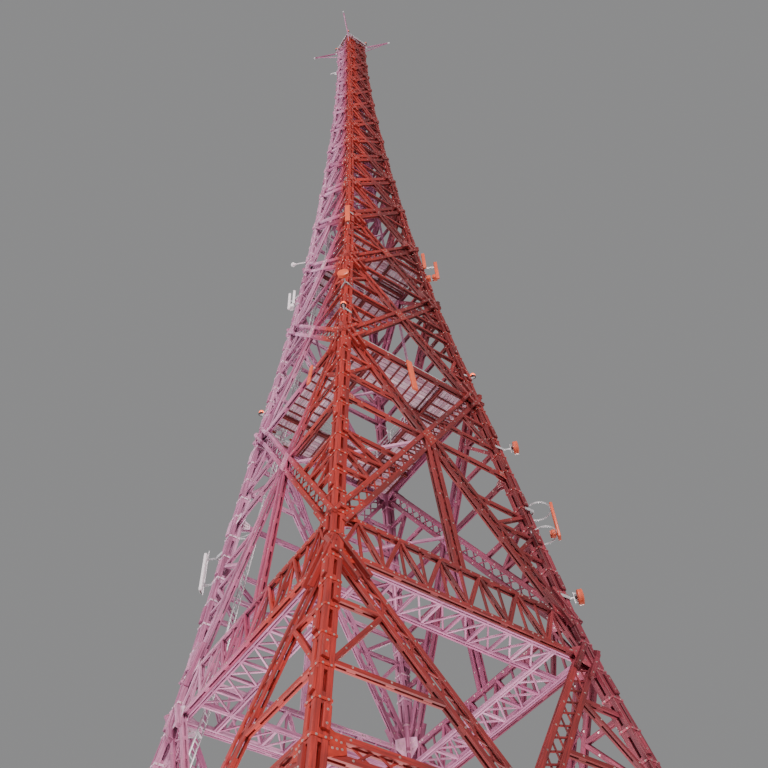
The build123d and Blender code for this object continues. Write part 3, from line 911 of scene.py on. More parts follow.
@dataclass
class Bay:
    """One bay of the front face, which places bars on its sloping plane."""

    low: float
    high: float

    def __post_init__(self) -> None:
        """Works out the plane of the bay and its thickness."""
        fall = PROFILE.axis(self.low) - PROFILE.axis(self.high)
        self.out = Vector((0, -(self.high - self.low), fall)).normalized()
        self.thickness = PROFILE.face_thickness((self.low + self.high) / 2)
        self.cross = PROFILE.crossing(self.low, self.high)
        self.slope = (PROFILE.inner(self.low) + PROFILE.inner(self.high)) / (self.high - self.low)
        self.parts = PartList()

    def at(self, point: Point, outward: float = 0.0) -> Vector:
        """Place of a point of the face, some way outward from its middle plane."""
        run = (point[1] - self.low) / (self.high - self.low)
        depth = PROFILE.axis(self.low) + (PROFILE.axis(self.high) - PROFILE.axis(self.low)) * run
        return Vector((point[0], -depth, point[1])) + self.out * outward

    def bar(self, a: Point, b: Point, width: float, depth: float, outward: float = 0.0) -> None:
        """Adds a timber from a to b, some way outward from the middle plane."""
        self.parts.add(self.at(a, outward), self.at(b, outward), width, depth, self.out)

    def bolts(self, spot: Point, outward: float) -> None:
        """Adds a bolt end on the outer and inner side of the face."""
        for s in (1, -1):
            self.parts.bolt(self.at(spot, s * outward), self.out * s)

    def outer_chord(self, width: float, chord: float, z: float) -> float:
        """Place on the outer timber of a built-up diagonal at a level."""
        return self.slope * abs(self.cross - z) + (width - chord) / 2 * math.hypot(1, self.slope)


def mirrored(point: Point, sign: int) -> Point:
    """Point on the right half of a face, or its mirror image for -1."""
    return sign * point[0], point[1]


def offset(p: Point, q: Point, shift: float) -> tuple[Point, Point]:
    """Line from p to q moved sideways."""
    ux, uz, _ = direction(p, q)
    return (p[0] - uz * shift, p[1] + ux * shift), (q[0] - uz * shift, q[1] + ux * shift)


def under(a: Point, b: Point, level: float) -> Point:
    """End a of the line to b, moved along it where it lies above a level."""
    return between(a, b, (a[1] - level) / (a[1] - b[1])) if a[1] > level else a


class Gusset(Enum):
    """Gusset plates by their joint: half height at the leg, and reach from it."""

    RING = (0.06, 0.07)
    CROSS = (0.05, 0.06)
    PLATFORM = (0.046, 0.056)
    TIE = (0.03, 0.04)
    SHAFT = (0.03, 0.03)


class Struts(Enum):
    """Struts of half a bay, by their heights from its end to the crossing."""

    BASE_LOW = (0.2, 0.38, 0.54, 0.7)
    BASE_HIGH = (0.3, 0.64)
    MIDDLE_LOW = (0.34, 0.5, 0.66)
    MIDDLE_HIGH = (0.36, 0.66)
    UPPER_LOW = (0.34, 0.64)
    UPPER_HIGH = (0.4, 0.68)


@dataclass
class FaceBracing:
    """Bracing of the front face, which the other faces repeat."""

    chord: float = 0.022
    board_share: float = 0.35
    lap: float = 0.02
    packer_pitch: float = 0.16
    packer_half: float = 0.016
    packer_width: float = 0.86
    packer_bite: float = 0.2
    inset_step: float = 0.0003
    base_width: float = 0.086
    middle_width: float = 0.078
    upper_width: float = 0.08
    post_share: float = 0.75
    lacing: float = 0.008
    lacing_pitch: float = 0.085
    lacing_depth: float = 0.16
    lacing_gap: float = 0.55
    strut_share: float = 0.8
    strut_lap: float = 0.006
    plate: float = 0.0026
    cross_spots: Point = (0.3, 0.62)
    gusset_bite: float = 0.001
    gusset_tip: float = 0.45
    cleat_depth: float = 0.007
    cleat_share: float = 0.9
    cleat_bolts: tuple[float, ...] = (0.12, 0.4, 0.85)
    ring_panels: int = 12
    ring_web: float = 0.6
    ring_post: float = 0.5
    ring_bolts: float = 0.05
    shaft_waist: float = 0.084
    shaft_top: float = 0.074
    shaft_bar: float = 0.39
    shaft_lap: float = 0.004
    shaft_tie: float = 0.9
    block_pitch: float = 0.075
    block_half: float = 0.007

    def boards(self, bay: Bay, p: Point, q: Point, width: float, lap: float, bolts: bool = True,
               inset: int = 0) -> None:
        """Two boards, on the outer and inner side of the face, with packers between them.

        Args:
            bay: Bay that holds them.
            p: One end of the middle line.
            q: Its other end.
            width: Width of the boards.
            lap: Length past both ends.
            bolts: True for bolts at the packers.
            inset: Steps that the boards lie deeper than the ones they cross.
        """
        board = bay.thickness * self.board_share
        skin = bay.thickness / 2 - inset * self.inset_step
        for outward in (skin - board / 2, board / 2 - skin):
            bay.bar(along(p, q, -lap), along(q, p, -lap), width, board, outward)
        run = direction(p, q)[2]
        count = max(1, round(run / self.packer_pitch))
        half = min(self.packer_half, run / 4)
        for i in range(count):
            middle = between(p, q, (i + 0.5) / count)
            bay.bar(along(middle, q, -half), along(middle, q, half), width * self.packer_width,
                    bay.thickness - (2 - self.packer_bite) * board)
            if bolts:
                bay.bolts(middle, skin)

    def zigzag(self, bay: Bay, p: Point, q: Point, spread: float) -> None:
        """Two crossing rows of lacing between two timbers.

        Args:
            bay: Bay that holds them.
            p: One end of their middle line.
            q: Its other end.
            spread: Distance of the rows' turns from it.
        """
        count = max(2, round(direction(p, q)[2] / self.lacing_pitch))
        depth = bay.thickness * self.lacing_depth
        edges = offset(p, q, spread), offset(p, q, -spread)
        for row, first in ((1, 0), (-1, 1)):
            marks = [between(*edges[(i + first) % 2], i / count) for i in range(count + 1)]
            for a, b in zip(marks, marks[1:]):
                bay.bar(a, b, self.lacing, depth, row * depth * self.lacing_gap)

    def laced(self, bay: Bay, p: Point, q: Point, width: float, stretches: Sequence[Point],
              lap: float = 0.02) -> None:
        """Built-up member: two doubled timbers with lacing between them.

        Args:
            bay: Bay that holds it.
            p: One end of the middle line.
            q: Its other end.
            width: Width over both timbers.
            stretches: Start and end of each laced length, from p.
            lap: Length past both ends.
        """
        spread = (width - self.chord) / 2
        for s in (spread, -spread):
            self.boards(bay, *offset(p, q, s), self.chord, lap)
        for start, end in stretches:
            self.zigzag(bay, along(p, q, start), along(p, q, end), spread)

    def plates(self, bay: Bay, corners: Sequence[Point], spots: Sequence[Point]) -> None:
        """The same plate on the outer and inner side of the face, with bolts.

        Args:
            bay: Bay that holds them.
            corners: Outline of the plate.
            spots: Places of the bolts.
        """
        skin = bay.thickness / 2
        for s in (1, -1):
            bay.parts.plate([bay.at(c, s * skin) for c in corners], bay.out * s * self.plate)
        for spot in spots:
            bay.bolts(spot, skin + self.plate)

    def cross_plate(self, bay: Bay, width: float) -> Point:
        """Plates on both sides where two diagonals cross.

        Args:
            bay: Bay of the crossing.
            width: Width of the diagonals.

        Returns:
            Half the width and half the height of the plate.
        """
        x = width / 2 * math.hypot(1, bay.slope)
        z = x / bay.slope
        ends = ((x, 0), (0, z), (-x, 0), (0, -z))
        corners, *spots = [[(a * share, bay.cross + b * share) for a, b in ends]
                           for share in (1, *self.cross_spots)]
        self.plates(bay, corners, sum(spots, []))
        return x, z

    def gusset(self, bay: Bay, z: float, kind: Gusset) -> None:
        """Plates at both legs where the members of a bay meet, trimmed to the bay.

        Args:
            bay: Bay that the plates are trimmed to.
            z: Level of the joint.
            kind: Their size.
        """
        height, reach = kind.value
        low, high = max(z - height, bay.low), min(z + height, bay.high)
        x = PROFILE.inner(z)
        tip = height * self.gusset_tip
        corners = [(PROFILE.inner(level) - self.gusset_bite, level) for level in (low, high)]
        corners += [(x - reach, min(z + tip, high)), (x - reach, max(z - tip, low))]
        spots = [(x - reach * share, z + height * level * (1 - share * 0.5))
                 for share in (0.25, 0.5, 0.75) for level in (0.35, -0.35)]
        for sign in (1, -1):
            self.plates(bay, [mirrored(c, sign) for c in corners],
                        [mirrored(s, sign) for s in spots if bay.low < s[1] < bay.high])

    def cleat(self, bay: Bay, p: Point, q: Point, width: float, length: float, lap: float) -> None:
        """Outer timber over the start of a member, run on across the leg that it comes from.

        Args:
            bay: Bay of the member.
            p: End of the member at the inner side of the leg.
            q: Its other end.
            width: Width of the timber.
            length: Length past the leg.
            lap: Share of the leg's width that it covers.
        """
        ux, uz, _ = direction(p, q)
        leg = PROFILE.leg_width(p[1])
        run_on = leg * lap * min(1 / max(abs(ux), 0.3), 2)
        if uz > 0:
            run_on = min(run_on, (p[1] - PROFILE.footing_top) / uz)
        skin = bay.thickness / 2
        depth = leg / 2 - skin + self.cleat_depth
        b = along(p, q, length)
        a = under(along(p, q, -run_on), b, PROFILE.height - width * abs(ux) / 2)
        bay.bar(a, b, width, depth, skin + depth / 2)
        for share in self.cleat_bolts:
            bay.parts.bolt(bay.at(between(a, b, share), skin + depth), bay.out)

    def cleats(self, bay: Bay, width: float, spread: float, length: float,
               lap: float = 0.7) -> None:
        """Cleats at the four ends of the two diagonals of a bay.

        Args:
            bay: Bay of the diagonals.
            width: Width of the cleats.
            spread: Distance of the diagonal's timbers from its middle line.
            length: Length of a cleat past the leg.
            lap: Share of the leg's width that it covers.
        """
        low = (PROFILE.inner(bay.low), bay.low)
        high = (-PROFILE.inner(bay.high), bay.high)
        for sign in (1, -1):
            for p, q in ((low, high), (high, low)):
                for s in (spread, -spread):
                    a, b = offset(mirrored(p, sign), mirrored(q, sign), s)
                    self.cleat(bay, a, b, width, length, lap)

    def crossed(self, bay: Bay, width: float, start: float) -> float:
        """Two laced diagonals with plates where they cross.

        Args:
            bay: Bay that they fill.
            width: Width over both timbers.
            start: Length at each end that the gusset covers.

        Returns:
            Half the width of the plate.
        """
        p, q = (PROFILE.inner(bay.low), bay.low), (-PROFILE.inner(bay.high), bay.high)
        _, uz, run = direction(p, q)
        middle = (bay.cross - bay.low) / uz
        half_width, half_height = self.cross_plate(bay, width)
        clear = half_height * uz
        for sign in (1, -1):
            self.laced(bay, mirrored(p, sign), mirrored(q, sign), width,
                       [(start, middle - clear), (middle + clear, run - start)])
        self.cleats(bay, self.chord * self.cleat_share, (width - self.chord) / 2, width * 1.5)
        return half_width

    def sub_bracing(self, bay: Bay, width: float, kind: Struts, end: float) -> None:
        """Struts from the diagonals to the legs with ties between them, on both halves.

        Args:
            bay: Bay of the struts.
            width: Width of the diagonals.
            kind: Places of the struts.
            end: Level of the end that they are measured from.
        """
        levels = [end + (bay.cross - end) * share for share in kind.value]
        for near, far in [(z, z) for z in levels] + list(zip(levels, levels[1:])):
            a = (bay.outer_chord(width, self.chord, near), near)
            b = (PROFILE.inner(far), far)
            for sign in (1, -1):
                self.boards(bay, mirrored(a, sign), mirrored(b, sign),
                            self.chord * self.strut_share, self.strut_lap, inset=3)

    def across(self, bay: Bay, z: float, width: float) -> None:
        """Doubled level bar from leg to leg."""
        x = PROFILE.inner(z)
        self.boards(bay, (-x, z), (x, z), width, self.lap, inset=1)

    def base(self) -> list[Bay]:
        """Large laced cross from the footings to the ring girder, with its girder and struts."""
        bay = Bay(PROFILE.shoe_top, PROFILE.ring_level)
        plate = self.crossed(bay, self.base_width, 0.05)
        half = PROFILE.inner(bay.cross)
        self.laced(bay, (-half, bay.cross), (half, bay.cross), self.base_width,
                   [(0, half - plate), (half + plate, 2 * half)])
        self.sub_bracing(bay, self.base_width, Struts.BASE_LOW, bay.low)
        self.sub_bracing(bay, self.base_width, Struts.BASE_HIGH, bay.high)
        self.gusset(bay, bay.high, Gusset.RING)
        self.gusset(bay, bay.cross, Gusset.CROSS)
        return [bay]

    def ring(self) -> Bay:
        """Girder of two chords with a crossed web."""
        bay = Bay(PROFILE.ring_level, PROFILE.ring_top)
        low, high = bay.low + self.chord / 2, bay.high - self.chord / 2
        for z in (low, high):
            self.across(bay, z, self.chord)
        width = PROFILE.inner(bay.low)
        marks = [width * (2 * i / self.ring_panels - 1) for i in range(self.ring_panels + 1)]
        for i, (a, b) in enumerate(zip(marks, marks[1:])):
            ends = (low, high) if i % 2 == 0 else (high, low)
            self.boards(bay, (a, ends[0]), (b, ends[1]), self.chord * self.ring_web, 0.0, False, 3)
            if i:
                bay.bar((a, low), (a, high), self.chord * self.ring_post, bay.thickness * 0.3)
        count = round(2 * width / self.ring_bolts)
        for i in range(count):
            x = width * (2 * (i + 0.5) / count - 1)
            for z in (low, high):
                bay.bolts((x, z), bay.thickness / 2)
        self.gusset(bay, bay.low, Gusset.RING)
        self.gusset(bay, bay.high, Gusset.CROSS)
        return bay

    def middle(self) -> list[Bay]:
        """Ring girder and the laced cross up to the first platform."""
        bay = Bay(PROFILE.ring_top, PROFILE.first_level)
        self.crossed(bay, self.middle_width, 0.04)
        self.laced(bay, (0, bay.low), (0, bay.cross), self.middle_width * self.post_share,
                   [(0, bay.cross - bay.low - self.middle_width)], 0.0)
        self.across(bay, bay.cross, self.chord)
        self.across(bay, bay.high - self.chord / 2, self.chord)
        self.sub_bracing(bay, self.middle_width, Struts.MIDDLE_LOW, bay.low)
        self.sub_bracing(bay, self.middle_width, Struts.MIDDLE_HIGH, bay.high)
        for z, kind in ((bay.low, Gusset.CROSS), (bay.high, Gusset.PLATFORM),
                        (bay.cross, Gusset.TIE)):
            self.gusset(bay, z, kind)
        return [self.ring(), bay]

    def upper(self) -> list[Bay]:
        """Two laced bays above the first platform."""
        levels = (PROFILE.first_level, PROFILE.upper_level, PROFILE.waist_level)
        bays = [Bay(low, high) for low, high in zip(levels, levels[1:])]
        for bay in bays:
            self.crossed(bay, self.upper_width, 0.04)
            self.across(bay, bay.cross, self.chord)
            self.across(bay, bay.low + self.chord / 2, self.chord)
            self.sub_bracing(bay, self.upper_width, Struts.UPPER_LOW, bay.low)
            self.sub_bracing(bay, self.upper_width, Struts.UPPER_HIGH, bay.high)
            for z in (bay.low, bay.high):
                self.gusset(bay, z, Gusset.PLATFORM)
        return bays

    def shaft_diagonal(self, bay: Bay, p: Point, q: Point, width: float, sign: int) -> None:
        """Two timbers side by side with blocks between them.

        Args:
            bay: Bay that holds them.
            p: Lower end of the middle line.
            q: Its upper end.
            width: Width over both timbers.
            sign: 1, or -1 for the diagonal that leans the other way.
        """
        ux, _, run = direction(p, q)
        bar = width * self.shaft_bar
        for s in (1, -1):
            c, d = offset(p, q, s * (width - bar) / 2)
            cut = s * sign * (width - bar) / 2 * bay.slope
            c, d = along(c, d, max(0.0, cut)), along(d, c, max(0.0, -cut))
            d = under(d, c, PROFILE.height - bar * abs(ux) / 2 - self.shaft_lap)
            self.boards(bay, c, d, bar, self.shaft_lap, inset=1 - sign)
        count = max(3, round(run / self.block_pitch))
        for i in range(count):
            middle = between(p, q, (i + 0.5) / count)
            bay.bar(along(middle, q, -self.block_half), along(middle, q, self.block_half),
                    width * 0.4, bay.thickness * 0.6)

    def shaft(self, levels: Sequence[float]) -> list[Bay]:
        """Bays whose crosses are two timbers with blocks between them.

        Args:
            levels: Levels between which the bays lie.

        Returns:
            The bays with their parts.
        """
        bays = [Bay(low, high) for low, high in zip(levels, levels[1:])]
        for bay in bays:
            low, high = bay.low, bay.high
            width = float(np.interp((low + high) / 2, [PROFILE.waist_level, PROFILE.height],
                                    [self.shaft_waist, self.shaft_top]))
            p, q = (PROFILE.inner(low), low), (-PROFILE.inner(high), high)
            for sign in (1, -1):
                self.shaft_diagonal(bay, mirrored(p, sign), mirrored(q, sign), width, sign)
            self.cleats(bay, width * self.shaft_bar * self.strut_share,
                        width * (1 - self.shaft_bar) / 2, width * 0.8, 0.5)
            for z in (bay.cross, high - self.chord / 2):
                self.across(bay, z, self.chord * self.shaft_tie)
            for z in (low, high):
                self.gusset(bay, z, Gusset.SHAFT)
        return bays

    def build(self, shop: Workshop, palette: Palette) -> None:
        """Makes each stage of all four faces.

        Args:
            shop: Workshop that makes the meshes.
            palette: Finishes.
        """
        stages = {"base": self.base(), "middle": self.middle(), "upper": self.upper(),
                  "neck": self.shaft(PROFILE.waist_levels),
                  "top": self.shaft(PROFILE.neck_levels)}
        for number, (stage, bays) in enumerate(stages.items()):
            parts = PartList()
            for bay in bays:
                parts.merge(bay.parts)
            for side in Side:
                name = f"{side.name.lower()}_{stage}"
                own = parts.turned(side.value)
                piece = shop.build(f"{name}_timbers", own, palette.timber, 10 * number + side.value)
                give(piece, Surface.BRACE, f"{name}_braces")
                give(shop.plated(f"{name}_plates", own, palette.plate), Surface.DARK_STEEL)
            give(shop.bolted(f"{stage}_bolts", parts.all_round(), palette.bolt), Surface.GALVANISED)


@dataclass
class Legs:
    """Four legs, each four posts with packers, straps and short timbers on the outer sides."""

    share: float = 0.39
    packer_pitch: float = 0.13
    packer_length: float = 0.045
    strap_height: float = 0.009
    strap_depth: float = 0.0022
    strap_bolt: float = 0.27
    packer_share: float = 0.93
    fish_depth: float = 0.009
    fish_share: float = 0.5
    fish_shift: float = 0.2
    fish_bolts: Point = (0.22, 0.78)

    def strap(self, made: PartList, z: float) -> None:
        """Flat strap round the leg with two bolts on each side."""
        w = PROFILE.leg_width(z)
        rise = UP * self.strap_height / 2
        for angle in QUARTERS:
            out, side = turned(EAST, angle), turned(NORTH, angle)
            skin = leg_centre(z) + out * w / 2
            near, far = skin - side * w / 2, skin + side * (w / 2 + self.strap_depth)
            outline = [near - rise, far - rise, far + rise, near + rise]
            made.plate(outline, out * self.strap_depth)
            for s in (1, -1):
                made.bolt(skin + out * self.strap_depth + side * (s * w * self.strap_bolt), out)

    def fish(self, made: PartList, low: float, high: float, number: int) -> None:
        """Short timber on one of the two outer sides of the leg, with two bolts.

        Args:
            made: List that it is added to.
            low: Level of its lower end.
            high: Level of its upper end.
            number: Decides the side and the shift across it.
        """
        out = (EAST, -NORTH)[number % 2]
        across = out.cross(UP) * (1 if number % 4 < 2 else -1)
        ends = []
        for z in (low, high):
            w = PROFILE.leg_width(z)
            centre = leg_centre(z) + out * (w + self.fish_depth) / 2
            ends.append(centre + across * w * self.fish_shift)
        made.add(*ends, PROFILE.leg_width(low) * self.fish_share, self.fish_depth, out)
        for share in self.fish_bolts:
            made.bolt(ends[0].lerp(ends[1], share) + out * self.fish_depth / 2, out)

    def stack(self, low: float, high: float) -> PartList:
        """Posts of the front right leg between two levels."""
        made = PartList()
        levels = [low] + [z for z in KNOTS[0] if low < z < high] + [high]
        for z0, z1 in zip(levels, levels[1:]):
            width = PROFILE.leg_width((z0 + z1) / 2) * self.share
            for x, y in SIGNS:
                ends = []
                for z in (z0, z1):
                    off = PROFILE.leg_width(z) * (1 - self.share) / 2
                    ends.append(leg_centre(z) + Vector((x, y, 0)) * off)
                made.add(*ends, width, width, -NORTH)
        z = low + self.packer_pitch / 2
        number = 0
        while z < high - self.packer_length:
            width = PROFILE.leg_width(z) * self.packer_share
            made.add(leg_centre(z), leg_centre(z + self.packer_length), width, width, -NORTH)
            self.strap(made, z + self.packer_length / 2)
            if z + self.packer_pitch < high:
                self.fish(made, z + self.packer_length, z + self.packer_pitch, number)
            z += self.packer_pitch
            number += 1
        return made

    def build(self, shop: Workshop, palette: Palette) -> None:
        """Makes both lengths of all four legs."""
        spans = {"lower": (PROFILE.shoe_top, PROFILE.waist_level),
                 "upper": (PROFILE.waist_level, PROFILE.height)}
        for number, (span, (low, high)) in enumerate(spans.items()):
            parts = self.stack(low, high)
            for corner in Corner:
                name = f"{corner.name.lower()}_{span}_leg"
                own = parts.turned(corner.value)
                piece = shop.build(f"{name}_posts", own, palette.timber,
                                   500 + number * 400 + corner.value)
                give(piece, Surface.LEG, name)
                give(shop.plated(f"{name}_straps", own, palette.plate), Surface.DARK_STEEL)
            give(shop.bolted(f"{span}_leg_bolts", parts.all_round(), palette.bolt),
                 Surface.GALVANISED)


@dataclass
class Platforms:
    """Decks of boards on joists and beams, with railings."""

    deck: float = 0.014
    board: float = 0.017
    gap: float = 0.0045
    board_depth: float = 0.005
    joist: float = 0.008
    joist_pitch: float = 0.058
    walk: float = 0.21
    core: float = 0.024
    beam_width: float = 0.016
    beam_depth: float = 0.024
    beam_step: float = 0.0004
    beam_packers: float = 0.12
    packer_half: float = 0.008
    rail_shares: tuple[float, ...] = (1.0, 0.68, 0.36)
    thin_rail: float = 0.7
    toe_board: Place = (0.007, 0.014, 0.35)
    hatch: float = 0.09
    rail_height: float = 0.11
    rail: float = 0.006
    clear: float = 0.006
    post_pitch: float = 0.13
    overhang: float = 0.026
    top_inset: float = 0.014

    def free(self, low: float, high: float, blocked: Sequence[Point]) -> list[Point]:
        """Parts of a span outside the blocked ones."""
        spans = [(low, high)]
        for a, b in blocked:
            parts = [part for lo, hi in spans for part in ((lo, min(hi, a)), (max(lo, b), hi))]
            spans = [(lo, hi) for lo, hi in parts if hi - lo > self.gap]
        return spans

    def obstacles(self, level: float, edge: float, angle: float,
                  legs: bool) -> list[tuple[float, ...]]:
        """Boxes in plan that boards leave free, seen from a side.

        Args:
            level: Underside of the deck.
            edge: Half the side of the deck.
            angle: Turn of the side in degrees.
            legs: True where the legs pass through the deck.

        Returns:
            Lowest and highest x, then lowest and highest y of each box.
        """
        h = PROFILE.ladder_centre(level)
        hatch = turned(Vector((-h, -h, 0)), -angle)
        half = self.hatch / 2
        boxes = [(hatch.x - half, hatch.x + half, hatch.y - half, hatch.y + half)]
        inner = PROFILE.inner(level)
        if legs:
            for signs in SIGNS:
                x, y = (sorted((s * inner, s * (edge + self.board))) for s in signs)
                boxes.append((*x, *y))
        return boxes

    def rows(self, level: float, edge: float, well: float, side: Side,
             legs: bool) -> tuple[PartList, PartList]:
        """Boards along one edge of a deck and the joists under them.

        Args:
            level: Underside of the deck.
            edge: Half the side of the deck.
            well: Half the side of the open well.
            side: Side whose edge the boards follow.
            legs: True where the legs pass through the deck.

        Returns:
            The boards and the joists.
        """
        boards, joists = PartList(), PartList()
        boxes = self.obstacles(level, edge, side.value, legs)
        count = max(1, round((edge - well) / (self.board + self.gap)))
        pitch = (edge - well) / count
        half = (pitch - self.gap) / 2
        z = level + self.deck - self.board_depth / 2
        for row in range(count):
            y = -edge + (row + 0.5) * pitch
            blocked = [(x0, x1) for x0, x1, y0, y1 in boxes if y0 < y + half and y1 > y - half]
            for a, b in self.free(-edge, well, blocked):
                boards.add(Vector((a, y, z)), Vector((b, y, z)), 2 * half, self.board_depth, UP)
        depth = self.deck - self.board_depth
        z = level + depth / 2
        x, half = -edge + self.joist, self.joist / 2
        while x < well:
            blocked = [(y0, y1) for x0, x1, y0, y1 in boxes if x0 < x + half and x1 > x - half]
            for a, b in self.free(-edge, -well, blocked):
                joists.add(Vector((x, a, z)), Vector((x, b, z)), self.joist, depth, UP)
            x += self.joist_pitch
        return boards.turned(side.value), joists.turned(side.value)

    def floor(self, level: float, edge: float, well: float,
              legs: bool) -> tuple[PartList, PartList]:
        """Boards and joists along all four edges, in a pinwheel round the middle."""
        boards, joists = PartList(), PartList()
        for side in Side:
            for whole, own in zip((boards, joists), self.rows(level, edge, well, side, legs)):
                whole.merge(own)
        return boards, joists

    def beams(self, level: float, well: float) -> PartList:
        """Doubled beams under the edges of the well, from face to face."""
        parts = PartList()
        y, z = -max(well, self.core / 2) - self.beam_width / 2, level - self.beam_depth / 2
        reach = PROFILE.inside(z)
        parts.pair(Vector((-reach, y, z)), Vector((reach, y, z)), NORTH, self.beam_width,
                   self.beam_depth)
        count = max(2, round(2 * reach / self.beam_packers))
        for i in range(count):
            x = -reach + 2 * reach * (i + 0.5) / count
            ends = [Vector((x + d, y, z)) for d in (-self.packer_half, self.packer_half)]
            parts.add(*ends, self.beam_width * 0.3, self.beam_depth * 0.8, UP)
        return parts.all_round(-self.beam_step)

    def railing(self, floor: float, half: float) -> PartList:
        """Posts, three rails and a toe board round a square."""
        parts = PartList()
        y = self.rail / 2 - half
        middle, height, toe = self.toe_board
        bars = [(self.rail_height * share - self.rail / 2,
                 *(self.rail * (1 if share == 1 else self.thin_rail),) * 2)
                for share in self.rail_shares]
        for up, width, depth in bars + [(middle, height, self.rail * toe)]:
            z = floor + up
            parts.add(Vector((-half, y, z)), Vector((half - self.rail, y, z)), width, depth, -NORTH)
        count = max(2, round(-2 * y / self.post_pitch))
        for i in range(count):
            x = y - 2 * y * i / count
            parts.add(Vector((x, y, floor)), Vector((x, y, floor + self.rail_height)), self.rail,
                      self.rail, -NORTH)
        return parts.all_round()

    def build(self, shop: Workshop, palette: Palette) -> None:
        """Makes the four platforms."""
        beams = PartList()
        levels = {"first": PROFILE.first_level, "second": PROFILE.second_level,
                  "third": PROFILE.third_level}
        for number, (name, level) in enumerate(levels.items()):
            edge = PROFILE.inside(level + self.deck)
            well = 0.0 if name == "third" else PROFILE.inside(level + self.deck / 2) - self.walk
            deck, joists = self.floor(level, edge, well, True)
            beams.merge(joists)
            give(shop.build(f"{name}_platform_boards", deck, palette.deck, 40 + number),
                 Surface.DECK, f"{name}_platform_deck")
            beams.merge(self.beams(level, well))
            floor = level + self.deck
            rails = self.railing(floor, PROFILE.inner(floor + self.rail_height) - self.clear)
            if well:
                rails.merge(self.railing(floor, well + 2 * self.rail))
            give(shop.build(f"{name}_platform_rails", rails, palette.galvanised, 60 + number,
                            FINE_CHAMFER), Surface.GALVANISED, f"{name}_platform_railing")
        give(shop.build("platform_beam_timbers", beams, palette.joist, 50), Surface.BRACE,
             "platform_beams")
        edge = PROFILE.top_side / 2 + self.overhang
        deck, joists = self.floor(PROFILE.height, edge, 0.0, False)
        give(shop.build("top_platform_boards", deck, palette.deck, 44), Surface.DECK,
             "top_platform_deck")
        give(shop.build("top_platform_joists", joists, palette.joist, 45), Surface.DECK)
        rails = self.railing(PROFILE.height + self.deck, edge - self.top_inset)
        give(shop.build("top_platform_rails", rails, palette.galvanised, 64, FINE_CHAMFER),
             Surface.GALVANISED, "top_platform_railing")


@dataclass
class PlanBracing:
    """Flat truss inside the ring girder and ties from face to face at the crossings."""

    chord: float = 0.022
    rise: float = 0.02
    width: float = 0.14
    inner_rise: float = 0.9
    brace: float = 0.012
    strut_rise: float = 0.6
    web_share: float = 0.6
    web_rise: float = 0.34
    web_lift: float = 0.2
    panels: int = 8
    tie: float = 0.014
    packers: int = 4
    packer_half: float = 0.008
    lift: float = 0.0004

    def ring(self) -> PartList:
        """Two square chords joined by crossed braces."""
        parts = PartList()
        z = PROFILE.ring_level + self.rise / 2
        outer = PROFILE.inside(z) - self.chord / 2
        inner = outer - self.width
        limit = PROFILE.inner(z)
        for s in (1, -1):
            for middle, end, depth in ((-outer, limit, self.rise),
                                       (-inner, outer, self.rise * self.inner_rise)):
                y = middle + s * self.chord * PAIR_OFFSET
                parts.add(Vector((-end, y, z)), Vector((end, y, z)), self.chord * PAIR_BOARD,
                          depth, UP)
        step = 2 * inner / self.panels
        for i in range(self.panels):
            x0, x1 = -inner + i * step, -inner + (i + 1) * step
            up = self.rise * self.web_lift
            for a, b, level in ((-outer, -inner, z + up), (-inner, -outer, z - up)):
                parts.add(Vector((x0, a, level)), Vector((x1, b, level)),
                          self.brace * self.web_share, self.rise * self.web_rise, UP)
            parts.add(Vector((x0, -outer, z)), Vector((x0, -inner, z)), self.brace,
                      self.rise * self.strut_rise, UP)
        return parts.all_round(self.lift)

    def diamond(self, z: float, width: float) -> PartList:
        """Doubled ties from the middle of each face to the next."""
        parts = PartList()
        half = PROFILE.inside(z)
        a, b = Vector((half, 0, z)), Vector((0, -half, z))
        run = (b - a).normalized()
        parts.pair(a + run * width / 2, b - run * width / 2, run.cross(UP), width, width)
        for i in range(self.packers):
            place, end = a.lerp(b, (i + 0.5) / self.packers), run * self.packer_half
            parts.add(place - end, place + end, width * 0.3, width * 0.8, UP)
        return parts.all_round(self.lift)

    def build(self, shop: Workshop, palette: Palette) -> None:
        """Makes the ring truss and all ties."""
        give(shop.build("ring_truss_timbers", self.ring(), palette.inner, 70), Surface.BRACE,
             "ring_truss")
        bays = [(PROFILE.ring_top, PROFILE.first_level), (PROFILE.first_level, PROFILE.upper_level)]
        bays += list(zip(PROFILE.waist_levels, PROFILE.waist_levels[1:]))
        ties = PartList()
        for low, high in bays[:-1]:
            ties.merge(self.diamond(PROFILE.crossing(low, high), self.tie))
        for z in PROFILE.waist_levels[1:3]:
            ties.merge(self.diamond(z - self.chord / 2, self.tie * 0.8))
        for low, high in zip(PROFILE.neck_levels, PROFILE.neck_levels[1:]):
            ties.merge(self.diamond(PROFILE.crossing(low, high), self.tie * 0.6))
        give(shop.build("plan_tie_timbers", ties, palette.inner, 71), Surface.BRACE, "plan_ties")


